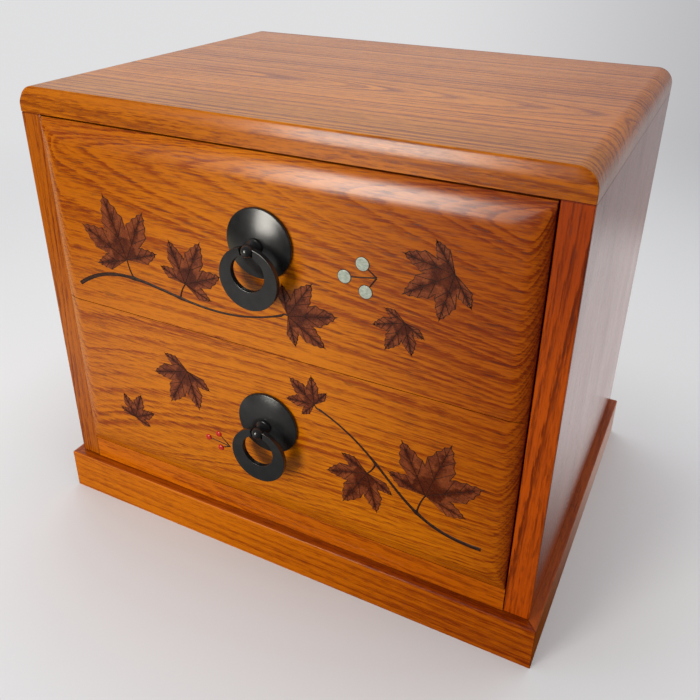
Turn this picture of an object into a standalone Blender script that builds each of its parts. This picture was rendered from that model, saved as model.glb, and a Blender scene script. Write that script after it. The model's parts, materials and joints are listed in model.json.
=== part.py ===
"""Small two-drawer tansu chest: a lacquered zelkova carcass on a plinth, two pillow-fronted drawers
with finger-jointed paulownia boxes, black iron ring pulls and marquetry sprays let into the fronts.

Metres, +Z up. The origin is the middle of the footprint on the floor, and the drawers open towards -Y.
"""

import math

import bmesh
import bpy
from mathutils import Matrix, Vector

# Carcass boards
CARCASS_WIDTH = 0.330
CARCASS_DEPTH = 0.245
SIDE_THICKNESS = 0.015
TOP_THICKNESS = 0.015
BOTTOM_THICKNESS = 0.016
SHELF_THICKNESS = 0.006
BACK_THICKNESS = 0.005
TOP_CORNER_RADIUS = 0.0105
TOP_CORNER_STEPS = 7
TOP_FRONT_RADIUS = 0.003
TOP_FRONT_STEPS = 4
EDGE_EASE = 0.0008
EASE_STEPS = 2

# Carcass joinery
TONGUE_THICKNESS = 0.005
TONGUE_LENGTH = 0.005
TONGUE_STOP = 0.022
HOUSING_DEPTH = 0.005
BACK_REBATE = 0.007

# Plinth frame under the carcass
PLINTH_HEIGHT = 0.030
PLINTH_THICKNESS = 0.018
PLINTH_PROJECTION = 0.0055
CORNER_BLOCK_LEG = 0.022
CORNER_BLOCK_DROP = 0.004

# Drawer fronts and the gaps round them
UPPER_FRONT_HEIGHT = 0.1143
LOWER_FRONT_HEIGHT = 0.1143
FRONT_THICKNESS = 0.018
REVEAL = 0.0009
FRONT_SPLIT = 0.0005
FOOT_REVEAL = 0.0005
PILLOW_RISE = 0.0038
PILLOW_WIDTH = 0.0108
PILLOW_STEPS = 6

# Drawer boxes
BOX_SIDE_THICKNESS = 0.009
BOX_BACK_THICKNESS = 0.009
BOX_BOTTOM_THICKNESS = 0.004
BOX_INSET = 0.0004
BOX_HEADROOM = 0.003
BOX_BACK_ROOM = 0.006
FRONT_LAP = 0.009
BOTTOM_GROOVE_HEIGHT = 0.006
BOTTOM_GROOVE_DEPTH = 0.004
FINGERS = 5

# Ring pulls
PLATE_RADIUS = 0.020
PLATE_RIM = 0.0018
PLATE_DOME = 0.0048
PLATE_LIFT = 0.009
BALL_STANDOFF = 0.0119
BALL_RADIUS = 0.0036
NECK_RADIUS = 0.0026
COLLAR_RADIUS = 0.0046
COLLAR_THICKNESS = 0.0014
SHANK_RADIUS = 0.0024
SHANK_TAIL = 0.002
WASHER_RADIUS = 0.0065
WASHER_THICKNESS = 0.0012
NUT_ACROSS_FLATS = 0.008
NUT_THICKNESS = 0.004
RING_RADIUS = 0.018
RING_HOLE_RADIUS = 0.0103
RING_TOP_WIDTH = 0.0044
RING_THICKNESS = 0.0030
RING_EASE = 0.0005
PIN_RADIUS = 0.0010
PIN_DEPTH = 0.0020
PIN_ROOT = 0.0015
TURNED_SEGMENTS = 32
DOME_STEPS = 6
BALL_STEPS = 10
SHANK_SEGMENTS = 24
PIN_SEGMENTS = 12
RING_SEGMENTS = 40

# Marquetry: leaves with pointed lobes on tapering stems, shell discs and berries, let into the fields
INLAY_DEPTH = 0.0012
INLAY_PROUD = 0.0002
LARGE_LEAF = 0.041
MEDIUM_LEAF = 0.031
SMALL_LEAF = 0.021
LEAF_LOBES = ((-88, 0.60), (-44, 0.88), (0, 1.0), (44, 0.88), (88, 0.60))
LOBE_BELLY = 0.62
LOBE_HALF_WIDTH = 0.21
LEAF_VALLEY = 0.56
STEM_ROOT_WIDTH = 0.0026
STEM_TIP_WIDTH = 0.0011
PETIOLE_WIDTH = 0.0011
PETIOLE_SINK = 0.0001
STEM_STEPS = 12
SHELL_RADIUS = 0.0036
BERRY_RADIUS = 0.0020
DISC_SEGMENTS = 14

# Marquetry layout on a field, in grid steps from the field's outer side edge and from the split.
# A stem is four Bezier points. A leaf on it is (step of the stem, stalk length, direction, span),
# and a loose leaf is (place, direction, span).
LAYOUT_STEP = 0.001
UPPER_STEM = ((3, 12), (50, 46), (85, 0), (150, 26))
UPPER_LEAVES = ((4, 12, 108, LARGE_LEAF), (7, 11, 66, MEDIUM_LEAF), (STEM_STEPS, 4, 12, MEDIUM_LEAF))
UPPER_LOOSE_LEAVES = (((246, 72), 212, MEDIUM_LEAF), ((222, 40), 240, SMALL_LEAF))
UPPER_SHELLS = ((188, 58), (198, 67), (200, 52))
LOWER_STEM = ((4, 88), (56, 90), (56, 48), (104, 28))
LOWER_LEAVES = ((4, 15, -108, LARGE_LEAF), (8, 10, 60, MEDIUM_LEAF), (STEM_STEPS, 4, -40, SMALL_LEAF))
LOWER_LOOSE_LEAVES = (((196, 30), 60, MEDIUM_LEAF), ((244, 80), 250, SMALL_LEAF))
LOWER_BERRIES = ((176, 70), (184, 75), (175, 80))

# Gap that seated pieces keep, and the clearance of a bore round its shank
SEAT = 0.0003
BORE_CLEARANCE = 0.0003

# Bends sharper than this stay crisp on a shaded piece
CREASE_DEGREES = 35

# Levels and planes worked out from the sizes above
PULL_REACH = PILLOW_RISE + BALL_STANDOFF + BALL_RADIUS
FRONT_Y = PULL_REACH - (CARCASS_DEPTH + PULL_REACH) / 2
CARCASS_FOOT = PLINTH_HEIGHT + SEAT
OPENING_FLOOR = CARCASS_FOOT + BOTTOM_THICKNESS
SPLIT_LEVEL = OPENING_FLOOR + FOOT_REVEAL + LOWER_FRONT_HEIGHT + FRONT_SPLIT / 2
OPENING_TOP = SPLIT_LEVEL + FRONT_SPLIT / 2 + UPPER_FRONT_HEIGHT + REVEAL
HALF_WIDTH = CARCASS_WIDTH / 2
HALF_OPENING = HALF_WIDTH - SIDE_THICKNESS
HALF_FRONT = HALF_OPENING - REVEAL
HALF_BOX = HALF_FRONT - BOX_INSET
HALF_BOX_INSIDE = HALF_BOX - BOX_SIDE_THICKNESS
HALF_FIELD = HALF_FRONT - PILLOW_WIDTH
SHELF_LOW = SPLIT_LEVEL - SHELF_THICKNESS / 2
SHELF_HIGH = SPLIT_LEVEL + SHELF_THICKNESS / 2
BACK_FACE = CARCASS_DEPTH - BACK_THICKNESS - SEAT
FIELD_Y = -PILLOW_RISE
BALL_Y = FIELD_Y - BALL_STANDOFF
BOX_END = BACK_FACE - BOX_BACK_ROOM


def clear_scene():
    for obj in list(bpy.data.objects):
        bpy.data.objects.remove(obj, do_unlink=True)


def make_material(name, colour, roughness, metallic=0.0):
    material = bpy.data.materials.new(name)
    material.use_nodes = True
    shader = material.node_tree.nodes["Principled BSDF"]
    shader.inputs["Base Color"].default_value = (*colour, 1.0)
    shader.inputs["Roughness"].default_value = roughness
    shader.inputs["Metallic"].default_value = metallic
    return material


def make_empty(name, location):
    empty = bpy.data.objects.new(name, None)
    empty.location = location
    bpy.context.scene.collection.objects.link(empty)
    return empty


def place(name, bm, material, parent, location=(0, 0, 0), smooth=False):
    """Turns a bmesh into an object of its own under a parent, with its faces pointing out."""
    bmesh.ops.recalc_face_normals(bm, faces=bm.faces)
    mesh = bpy.data.meshes.new(name)
    bm.to_mesh(mesh)
    bm.free()
    if smooth:
        mesh.shade_smooth()
        mesh.set_sharp_from_angle(angle=math.radians(CREASE_DEGREES))
    obj = bpy.data.objects.new(name, mesh)
    obj.location = location
    obj.parent = parent
    if material:
        mesh.materials.append(material)
    bpy.context.scene.collection.objects.link(obj)
    return obj


def combine(target, tool, operation):
    """Adds a Boolean with a hidden tool solid."""
    tool.hide_render = True
    tool.display_type = "WIRE"
    modifier = target.modifiers.new(f"{operation.lower()}_{tool.name}", "BOOLEAN")
    modifier.operation = operation
    modifier.solver = "EXACT"
    modifier.object = tool
    return target


def box_mesh(low, high, ease=0.0):
    """A box between two corners, with its edges eased."""
    bm = bmesh.new()
    centre = (Vector(low) + Vector(high)) / 2
    size = Vector(high) - Vector(low)
    bmesh.ops.create_cube(bm, size=1.0, matrix=Matrix.Translation(centre) @ Matrix.Diagonal((*size, 1.0)))
    if ease:
        bmesh.ops.bevel(bm, geom=bm.edges[:], offset=ease, segments=EASE_STEPS, profile=0.5, affect="EDGES")
    return bm


def board(name, low, high, material, parent):
    return place(name, box_mesh(low, high, EDGE_EASE), material, parent)


def cut_box(target, name, low, high):
    """Cuts a plain box, given in the target's own parent frame."""
    tool = place(f"{target.name}_{name}_cut", box_mesh(low, high), None, target.parent)
    return combine(target, tool, "DIFFERENCE")


def join_box(target, name, low, high):
    tool = place(f"{target.name}_{name}_join", box_mesh(low, high), None, target.parent)
    return combine(target, tool, "UNION")


def prism_mesh(outline, along, start, end):
    """Extrudes a closed outline along X, Y or Z. Outline pairs are the other two axes, in XYZ order."""
    def point(pair, level):
        values = list(pair)
        values.insert("XYZ".index(along), level)
        return values

    bm = bmesh.new()
    face = bm.faces.new([bm.verts.new(point(pair, start)) for pair in outline])
    made = bmesh.ops.extrude_face_region(bm, geom=[face])
    step = [0.0, 0.0, 0.0]
    step["XYZ".index(along)] = end - start
    bmesh.ops.translate(bm, vec=step, verts=[v for v in made["geom"] if isinstance(v, bmesh.types.BMVert)])
    return bm


def arc(centre, radius, start, end, steps):
    """Points of an arc, both ends included. Angles are in degrees."""
    angles = [math.radians(start + (end - start) * i / steps) for i in range(steps + 1)]
    return [(centre[0] + radius * math.cos(a), centre[1] + radius * math.sin(a)) for a in angles]


def turned_mesh(profile, segments=TURNED_SEGMENTS, closed=False):
    """Turns a profile of (radius, y) pairs about the Y axis."""
    bm = bmesh.new()
    points = [bm.verts.new((radius, y, 0.0)) for radius, y in profile]
    pairs = list(zip(points, points[1:]))
    if closed:
        pairs.append((points[-1], points[0]))
    lines = [bm.edges.new(pair) for pair in pairs]
    bmesh.ops.spin(bm, geom=points + lines, cent=(0, 0, 0), axis=(0, 1, 0), angle=2 * math.pi,
                   steps=segments, use_merge=True)
    bmesh.ops.remove_doubles(bm, verts=bm.verts[:], dist=1e-6)
    return bm


# Carcass

def top_board(parent, wood):
    """Top board whose ends round over into the sides, grooved for their tongues and the back."""
    low, high = OPENING_TOP, OPENING_TOP + TOP_THICKNESS
    reach = HALF_WIDTH - TOP_CORNER_RADIUS
    outline = [(-HALF_WIDTH, low), (HALF_WIDTH, low)]
    outline += arc((reach, high - TOP_CORNER_RADIUS), TOP_CORNER_RADIUS, 0, 90, TOP_CORNER_STEPS)
    outline += arc((-reach, high - TOP_CORNER_RADIUS), TOP_CORNER_RADIUS, 90, 180, TOP_CORNER_STEPS)
    bm = prism_mesh(outline, "Y", 0.0, CARCASS_DEPTH)
    crown = [e for e in bm.edges if max(v.co.y for v in e.verts) < EDGE_EASE
             and min(v.co.z for v in e.verts) > low + EDGE_EASE]
    bmesh.ops.bevel(bm, geom=crown, offset=TOP_FRONT_RADIUS, segments=TOP_FRONT_STEPS, profile=0.5, affect="EDGES")
    rear = [e for e in bm.edges if min(v.co.y for v in e.verts) > CARCASS_DEPTH - EDGE_EASE]
    bmesh.ops.bevel(bm, geom=rear, offset=EDGE_EASE, segments=EASE_STEPS, profile=0.5, affect="EDGES")
    top = place("top_board", bm, wood, parent, smooth=True)
    for side, sign in (("left", -1), ("right", 1)):
        middle = sign * (HALF_WIDTH - SIDE_THICKNESS / 2)
        half = TONGUE_THICKNESS / 2 + SEAT
        cut_box(top, f"{side}_groove", (middle - half, TONGUE_STOP - SEAT, low - SIDE_THICKNESS),
                (middle + half, CARCASS_DEPTH - TONGUE_STOP + SEAT, low + TONGUE_LENGTH + SEAT))
    return cut_box(top, "back_rebate", (-HALF_OPENING - BACK_REBATE, BACK_FACE, low - SIDE_THICKNESS),
                   (HALF_OPENING + BACK_REBATE, CARCASS_DEPTH + SIDE_THICKNESS, low + BACK_REBATE))


def side_panel(name, sign, parent, wood):
    """Side board with a tongue up into the top, and housings for the shelf, the bottom and the back."""
    outer, inner = sign * HALF_WIDTH, sign * HALF_OPENING
    top_level = OPENING_TOP - SEAT
    side = board(name, (min(outer, inner), 0.0, CARCASS_FOOT), (max(outer, inner), CARCASS_DEPTH, top_level),
                 wood, parent)
    middle = sign * (HALF_WIDTH - SIDE_THICKNESS / 2)
    join_box(side, "tongue", (middle - TONGUE_THICKNESS / 2, TONGUE_STOP, top_level - TONGUE_LENGTH),
             (middle + TONGUE_THICKNESS / 2, CARCASS_DEPTH - TONGUE_STOP, top_level + TONGUE_LENGTH))
    deep, proud = inner + sign * (HOUSING_DEPTH + SEAT), inner - sign * SIDE_THICKNESS
    span = (min(deep, proud), max(deep, proud))
    cut_box(side, "shelf_housing", (span[0], FRONT_THICKNESS, SHELF_LOW - SEAT),
            (span[1], BACK_FACE + SEAT, SHELF_HIGH + SEAT))
    level = CARCASS_FOOT + BOTTOM_THICKNESS / 2
    cut_box(side, "bottom_housing", (span[0], TONGUE_STOP - SEAT, level - TONGUE_THICKNESS / 2 - SEAT),
            (span[1], CARCASS_DEPTH - TONGUE_STOP + SEAT, level + TONGUE_THICKNESS / 2 + SEAT))
    rebate = inner + sign * BACK_REBATE
    cut_box(side, "back_rebate", (min(rebate, proud), BACK_FACE, OPENING_FLOOR),
            (max(rebate, proud), CARCASS_DEPTH + SIDE_THICKNESS, OPENING_TOP + SIDE_THICKNESS))
    return side


def bottom_board(parent, wood):
    """Bottom board between the sides: its front edge shows as the rail under the lower drawer."""
    half = HALF_OPENING - SEAT
    bottom = board("bottom_board", (-half, 0.0, CARCASS_FOOT), (half, CARCASS_DEPTH, OPENING_FLOOR), wood, parent)
    level = CARCASS_FOOT + BOTTOM_THICKNESS / 2
    reach = HALF_OPENING + HOUSING_DEPTH
    join_box(bottom, "tongues", (-reach, TONGUE_STOP, level - TONGUE_THICKNESS / 2),
             (reach, CARCASS_DEPTH - TONGUE_STOP, level + TONGUE_THICKNESS / 2))
    return bottom


def middle_shelf(parent, wood):
    """Dust shelf behind the fronts: the upper drawer runs on it, and its front edge stops both drawers."""
    reach = HALF_OPENING + HOUSING_DEPTH
    low = (-reach, FRONT_THICKNESS + SEAT, SHELF_LOW)
    return place("middle_shelf", box_mesh(low, (reach, BACK_FACE, SHELF_HIGH)), wood, parent)


def back_panel(parent, wood):
    half = HALF_OPENING + BACK_REBATE - SEAT
    low = (-half, BACK_FACE + SEAT, OPENING_FLOOR + SEAT)
    high = (half, CARCASS_DEPTH, OPENING_TOP + BACK_REBATE - SEAT)
    return place("back_panel", box_mesh(low, high), wood, parent)


# Plinth

def plinth_rail(name, outline, parent, wood):
    """A rail of the plinth from its plan outline, with its long upper edges eased."""
    bm = prism_mesh(outline, "Z", 0.0, PLINTH_HEIGHT)
    upper = [e for e in bm.edges if min(v.co.z for v in e.verts) > PLINTH_HEIGHT - EDGE_EASE
             and (e.verts[0].co - e.verts[1].co).length > 2 * PLINTH_THICKNESS]
    bmesh.ops.bevel(bm, geom=upper, offset=EDGE_EASE, segments=EASE_STEPS, profile=0.5, affect="EDGES")
    return place(name, bm, wood, parent)


def plinth(parent, wood, block_wood):
    """Frame mitred at the front corners, with a rear rail between the side rails and glue blocks inside."""
    outer_x, front = HALF_WIDTH + PLINTH_PROJECTION, -PLINTH_PROJECTION
    inner_x, inner_y = outer_x - PLINTH_THICKNESS, front + PLINTH_THICKNESS
    half_gap = SEAT / math.sqrt(2)
    plinth_rail("plinth_front_rail", [(-outer_x + half_gap, front), (outer_x - half_gap, front),
                                      (inner_x - half_gap, inner_y), (-inner_x + half_gap, inner_y)], parent, wood)
    for side, sign in (("left", -1), ("right", 1)):
        plinth_rail(f"plinth_{side}_rail",
                    [(sign * outer_x, front + half_gap), (sign * outer_x, CARCASS_DEPTH),
                     (sign * inner_x, CARCASS_DEPTH), (sign * inner_x, inner_y + half_gap)], parent, wood)
    rear_half, rear_front = inner_x - SEAT, CARCASS_DEPTH - PLINTH_THICKNESS
    plinth_rail("plinth_rear_rail", [(-rear_half, rear_front), (rear_half, rear_front),
                                     (rear_half, CARCASS_DEPTH), (-rear_half, CARCASS_DEPTH)], parent, wood)
    high = PLINTH_HEIGHT - SEAT
    corners = {"front": (inner_y + half_gap + SEAT, 1), "rear": (rear_front - SEAT, -1)}
    for side, sign in (("left", -1), ("right", 1)):
        for end, (corner_y, way) in corners.items():
            corner_x = sign * (inner_x - SEAT)
            outline = [(corner_x, corner_y), (corner_x - sign * CORNER_BLOCK_LEG, corner_y),
                       (corner_x, corner_y + way * CORNER_BLOCK_LEG)]
            place(f"plinth_{end}_{side}_block", prism_mesh(outline, "Z", CORNER_BLOCK_DROP, high),
                  block_wood, parent)


# Drawers

def pillow_loops(high_rounded, low_rounded, low, high):
    """Nested rectangles from the back of a front to its raised field: ((x, z) low corner, high corner, y)."""
    loops = [(0.0, FRONT_THICKNESS), (0.0, 0.0)]
    sweep = 2 * math.atan2(PILLOW_RISE, PILLOW_WIDTH)
    radius = PILLOW_WIDTH / math.sin(sweep)
    for i in range(1, PILLOW_STEPS + 1):
        tilt = sweep * (1 - i / PILLOW_STEPS)
        drop = radius * (1 - math.cos(tilt))
        loops.append((PILLOW_WIDTH - radius * math.sin(tilt), drop - PILLOW_RISE))
    for inset, y in loops:
        half = HALF_FRONT - inset
        yield (-half, low + inset * low_rounded), (half, high - inset * high_rounded), y


def front_mesh(high_rounded, low_rounded, low, high):
    """Drawer front whose outer edges round over, mitred at the corners, and stay square at the split."""
    bm = bmesh.new()
    rings = []
    for (x0, z0), (x1, z1), y in pillow_loops(high_rounded, low_rounded, low, high):
        corners = ((x0, z0), (x1, z0), (x1, z1), (x0, z1))
        rings.append([bm.verts.new((x, y, z)) for x, z in corners])
    bm.faces.new(rings[0])
    bm.faces.new(rings[-1])
    for near, far in zip(rings, rings[1:]):
        for i in range(4):
            j = (i + 1) % 4
            bm.faces.new((near[i], near[j], far[j], far[i]))
    return bm


def drawer_front(drawer, parent, wood, low, high):
    """Front lapped over the box sides, grooved for the bottom and bored for the pull."""
    upper = drawer == "upper"
    front = place(f"{drawer}_drawer_front", front_mesh(upper, not upper, low, high), wood, parent, smooth=True)
    beyond = FRONT_THICKNESS * 2
    for sign in (-1, 1):
        inner, outer = sign * (HALF_BOX_INSIDE - SEAT), sign * (HALF_FRONT + beyond)
        cut_box(front, f"lap_{'left' if sign < 0 else 'right'}",
                (min(inner, outer), FRONT_THICKNESS - FRONT_LAP, low - beyond),
                (max(inner, outer), beyond, high + beyond))
    half = HALF_BOX_INSIDE + BOTTOM_GROOVE_DEPTH
    return cut_box(front, "bottom_groove",
                   (-half, FRONT_THICKNESS - BOTTOM_GROOVE_DEPTH - SEAT, BOTTOM_GROOVE_HEIGHT - SEAT),
                   (half, beyond, BOTTOM_GROOVE_HEIGHT + BOX_BOTTOM_THICKNESS + SEAT))


def finger_levels(low, high):
    """(lower level, upper level, whether the back board's finger is here) for each share of the corner."""
    pitch = (high - low) / FINGERS
    return [(low + i * pitch, low + (i + 1) * pitch, i % 2 == 1) for i in range(FINGERS)]


def box_side(name, sign, parent, wood, height, back_low):
    """Drawer side: notched at the rear for the back's fingers and grooved for the bottom."""
    start, notch = FRONT_THICKNESS - FRONT_LAP + SEAT, BOX_END - BOX_BACK_THICKNESS - SEAT
    outline = [(start, height), (start, 0.0), (BOX_END, 0.0)]
    for z0, z1, is_back in finger_levels(back_low, height):
        if is_back:
            outline += [(BOX_END, z0), (notch, z0), (notch, z1), (BOX_END, z1)]
    outline.append((BOX_END, height))
    outer, inner = sign * HALF_BOX, sign * HALF_BOX_INSIDE
    side = place(name, prism_mesh(outline, "X", outer, inner), wood, parent)
    groove, proud = inner + sign * (BOTTOM_GROOVE_DEPTH + SEAT), inner - sign * BOX_SIDE_THICKNESS
    return cut_box(side, "bottom_groove", (min(groove, proud), -BOX_END, BOTTOM_GROOVE_HEIGHT - SEAT),
                   (max(groove, proud), 2 * BOX_END, BOTTOM_GROOVE_HEIGHT + BOX_BOTTOM_THICKNESS + SEAT))


def box_back(name, parent, wood, height, low):
    """Drawer back between the sides, with fingers that reach through to their outer faces."""
    right = []
    for z0, z1, is_back in finger_levels(low, height):
        reach = HALF_BOX if is_back else HALF_BOX_INSIDE - SEAT
        trim = SEAT if is_back else -SEAT
        right += [(reach, max(z0 + trim, low)), (reach, min(z1 - trim, height))]
    outline = right + [(-x, z) for x, z in reversed(right)]
    return place(name, prism_mesh(outline, "Y", BOX_END - BOX_BACK_THICKNESS, BOX_END), wood, parent)


def box_bottom(name, parent, wood):
    reach = HALF_BOX_INSIDE + BOTTOM_GROOVE_DEPTH
    low = (-reach, FRONT_THICKNESS - BOTTOM_GROOVE_DEPTH, BOTTOM_GROOVE_HEIGHT)
    high = (reach, BOX_END, BOTTOM_GROOVE_HEIGHT + BOX_BOTTOM_THICKNESS)
    return place(name, box_mesh(low, high), wood, parent)


# Ring pulls, each built about the ball of its post

def circle(radius, segments):
    return arc((0.0, 0.0), radius, 0, 360 - 360 / segments, segments - 1)


def pull_plate(name, parent, iron, ball):
    """Round backplate with a low dome."""
    base = BALL_STANDOFF - SEAT
    hole = SHANK_RADIUS + BORE_CLEARANCE
    profile = [(hole, base), (PLATE_RADIUS, base), (PLATE_RADIUS, base - PLATE_RIM)]
    for i in range(1, DOME_STEPS + 1):
        radius = PLATE_RADIUS + (hole - PLATE_RADIUS) * i / DOME_STEPS
        share = 1 - (radius / PLATE_RADIUS) ** 2
        profile.append((radius, base - PLATE_RIM - (PLATE_DOME - PLATE_RIM) * share))
    return place(name, turned_mesh(profile, closed=True), iron, parent, ball, smooth=True)


def pull_post(name, parent, iron, ball):
    """Post with a cross-bored ball for the ring, a collar on the plate and a shank through the front."""
    collar_seat = BALL_STANDOFF - SEAT - PLATE_DOME - SEAT
    shank_end = BALL_STANDOFF - FIELD_Y + FRONT_THICKNESS + WASHER_THICKNESS + NUT_THICKNESS + SHANK_TAIL
    neck_start = math.degrees(math.asin(NECK_RADIUS / BALL_RADIUS))
    profile = [(max(radius, 0.0), y) for y, radius in arc((0.0, 0.0), BALL_RADIUS, 180, neck_start, BALL_STEPS)]
    profile += [(NECK_RADIUS, collar_seat - COLLAR_THICKNESS), (COLLAR_RADIUS, collar_seat - COLLAR_THICKNESS),
                (COLLAR_RADIUS, collar_seat), (SHANK_RADIUS, collar_seat), (SHANK_RADIUS, shank_end),
                (0.0, shank_end)]
    post = place(name, turned_mesh(profile, SHANK_SEGMENTS), iron, parent, ball, smooth=True)
    bore = prism_mesh(circle(PIN_RADIUS + BORE_CLEARANCE, PIN_SEGMENTS), "X", -2 * BALL_RADIUS, 2 * BALL_RADIUS)
    return combine(post, place(f"{name}_cross_bore_cut", bore, None, parent, ball), "DIFFERENCE")


def pull_fixing(drawer_name, parent, steel, ball):
    """Washer and nut on the shank inside the drawer."""
    inside = BALL_STANDOFF - FIELD_Y + FRONT_THICKNESS + SEAT
    hole = SHANK_RADIUS + BORE_CLEARANCE
    washer = [(hole, inside), (WASHER_RADIUS, inside), (WASHER_RADIUS, inside + WASHER_THICKNESS),
              (hole, inside + WASHER_THICKNESS)]
    place(f"{drawer_name}_pull_washer", turned_mesh(washer, SHANK_SEGMENTS, closed=True), steel, parent, ball,
          smooth=True)
    start = inside + WASHER_THICKNESS + SEAT
    hexagon = circle(NUT_ACROSS_FLATS / math.sqrt(3), 6)
    nut = place(f"{drawer_name}_pull_nut", prism_mesh(hexagon, "Y", start, start + NUT_THICKNESS), steel,
                parent, ball)
    bore = prism_mesh(circle(hole, SHANK_SEGMENTS), "Y", inside, start + 2 * NUT_THICKNESS)
    combine(nut, place(f"{drawer_name}_nut_bore_cut", bore, None, parent, ball), "DIFFERENCE")


def ring_mesh():
    """Flat crescent ring: its hole is off centre, so that the top where it meets the ball is narrow."""
    outer_drop = RING_RADIUS - RING_TOP_WIDTH / 2
    hole_drop = RING_HOLE_RADIUS + RING_TOP_WIDTH / 2
    bm = bmesh.new()
    loops = []
    for radius, drop in ((RING_RADIUS, outer_drop), (RING_HOLE_RADIUS, hole_drop)):
        for y in (-RING_THICKNESS / 2, RING_THICKNESS / 2):
            loops.append([bm.verts.new((x, y, z - drop)) for x, z in circle(radius, RING_SEGMENTS)])
    outer_near, outer_far, hole_near, hole_far = loops
    for one, other in ((outer_near, outer_far), (outer_far, hole_far), (hole_far, hole_near),
                       (hole_near, outer_near)):
        for i in range(RING_SEGMENTS):
            j = (i + 1) % RING_SEGMENTS
            bm.faces.new((one[i], one[j], other[j], other[i]))
    bmesh.ops.recalc_face_normals(bm, faces=bm.faces)
    rims = [e for e in bm.edges if e.calc_face_angle() > math.radians(60)]
    bmesh.ops.bevel(bm, geom=rims, offset=RING_EASE, segments=1, affect="EDGES")
    return bm


def pull_ring(name, parent, iron, ball):
    """Ring open at the top, hollowed there round the ball, with a pin on each end in the ball's cross bore."""
    ring = place(name, ring_mesh(), iron, parent, ball, smooth=True)
    hollow = bmesh.new()
    bmesh.ops.create_uvsphere(hollow, u_segments=TURNED_SEGMENTS, v_segments=TURNED_SEGMENTS // 2,
                              radius=BALL_RADIUS + SEAT)
    combine(ring, place(f"{name}_ball_cut", hollow, None, parent, ball), "DIFFERENCE")
    for side, sign in (("left", -1), ("right", 1)):
        pin = prism_mesh(circle(PIN_RADIUS, PIN_SEGMENTS), "X", sign * (BALL_RADIUS - PIN_DEPTH),
                         sign * (BALL_RADIUS + SEAT + PIN_ROOT))
        combine(ring, place(f"{name}_{side}_pin_join", pin, None, parent, ball), "UNION")
    return ring


# Marquetry, laid out on a field from its side edge inwards (u) and from the split between the fronts (v)

def polar(length, degrees):
    return Vector((length * math.cos(math.radians(degrees)), length * math.sin(math.radians(degrees))))


def leaf_outline(span, grow):
    """Leaf about its foot, pointing along +u. A pocket is the same leaf, grown by its clearance."""
    points = [polar(2 * grow, 180)]
    for i, (angle, share) in enumerate(LEAF_LOBES):
        length = share * span
        belly = polar(length * LOBE_BELLY, angle)
        half = polar(LOBE_HALF_WIDTH * length + grow, angle + 90)
        points += [belly - half, polar(length + 3 * grow, angle), belly + half]
        if i + 1 < len(LEAF_LOBES):
            next_angle, next_share = LEAF_LOBES[i + 1]
            points.append(polar(LEAF_VALLEY * span * min(share, next_share) + grow, (angle + next_angle) / 2))
    return points


def leaf_at(foot, turn, span, grow=0.0):
    turned = Matrix.Rotation(math.radians(turn), 2)
    return [foot + turned @ point for point in leaf_outline(span, grow)]


def stem_points(controls):
    """Points of the stem's curve through its root and tip, from four Bezier points."""
    root, lift, lean, tip = (Vector(c) * LAYOUT_STEP for c in controls)
    shares = [i / STEM_STEPS for i in range(STEM_STEPS + 1)]
    return [root * (1 - t) ** 3 + 3 * lift * t * (1 - t) ** 2 + 3 * lean * t ** 2 * (1 - t) + tip * t ** 3
            for t in shares]


def strip_outline(points, root_width, tip_width, grow=0.0):
    """Tapering strip along a line of points."""
    left, right = [], []
    for i, point in enumerate(points):
        along = (points[min(i + 1, len(points) - 1)] - points[max(i - 1, 0)]).normalized()
        half = root_width + (tip_width - root_width) * i / (len(points) - 1)
        across = Vector((-along.y, along.x)) * (half / 2 + grow)
        ends = {0: -grow, len(points) - 1: grow}
        left.append(point + across + along * ends.get(i, 0.0))
        right.append(point - across + along * ends.get(i, 0.0))
    return left + right[::-1]


class Field:
    """The flat field of one drawer front, into which inlays are let."""

    def __init__(self, front, side, split, away):
        self.front = front
        self.side = side
        self.split = split
        self.away = away

    def outline(self, points):
        return [(self.side * (HALF_FIELD - p.x), self.split + self.away * p.y) for p in points]

    def solid(self, name, points, near, far, finish=None):
        return place(name, prism_mesh(self.outline(points), "Y", near, far), finish, self.front.parent)

    def pocket(self, name, points):
        tool = self.solid(f"{name}_pocket", points, FIELD_Y - FRONT_THICKNESS, FIELD_Y + INLAY_DEPTH)
        combine(self.front, tool, "DIFFERENCE")

    def inlay(self, name, points, grown, finish):
        self.pocket(name, grown)
        return self.solid(name, points, FIELD_Y - INLAY_PROUD, FIELD_Y + INLAY_DEPTH - SEAT, finish)

    def disc(self, name, centre, radius, finish):
        ring = [Vector(p) for p in circle(radius, DISC_SEGMENTS)]
        grown = [Vector(p) for p in circle(radius + SEAT, DISC_SEGMENTS)]
        centre = Vector(centre) * LAYOUT_STEP
        self.inlay(name, [centre + p for p in ring], [centre + p for p in grown], finish)


def spray(drawer_name, field, controls, leaves, finishes):
    """A stem with leaves on stalks."""
    points = stem_points(controls)
    widths = (STEM_ROOT_WIDTH, STEM_TIP_WIDTH)
    stem = field.inlay(f"{drawer_name}_stem_inlay", strip_outline(points, *widths),
                       strip_outline(points, *widths, SEAT), finishes["stem"])
    for i, (step, stalk_length, turn, span) in enumerate(leaves, 1):
        root = points[step]
        foot = root + polar(stalk_length * LAYOUT_STEP, turn)
        name = f"{drawer_name}_leaf_inlay_{i}"
        field.inlay(name, leaf_at(foot, turn, span), leaf_at(foot, turn, span, SEAT), finishes["leaf"])
        line = [root, foot - polar(SEAT, turn)]
        stalk = strip_outline(line, PETIOLE_WIDTH, PETIOLE_WIDTH)
        tool = field.solid(f"{name}_stalk_join", stalk, FIELD_Y - INLAY_PROUD + PETIOLE_SINK,
                           FIELD_Y + INLAY_DEPTH - SEAT - PETIOLE_SINK)
        combine(stem, tool, "UNION")
        field.pocket(f"{name}_stalk", strip_outline(line, PETIOLE_WIDTH, PETIOLE_WIDTH, SEAT))


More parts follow.
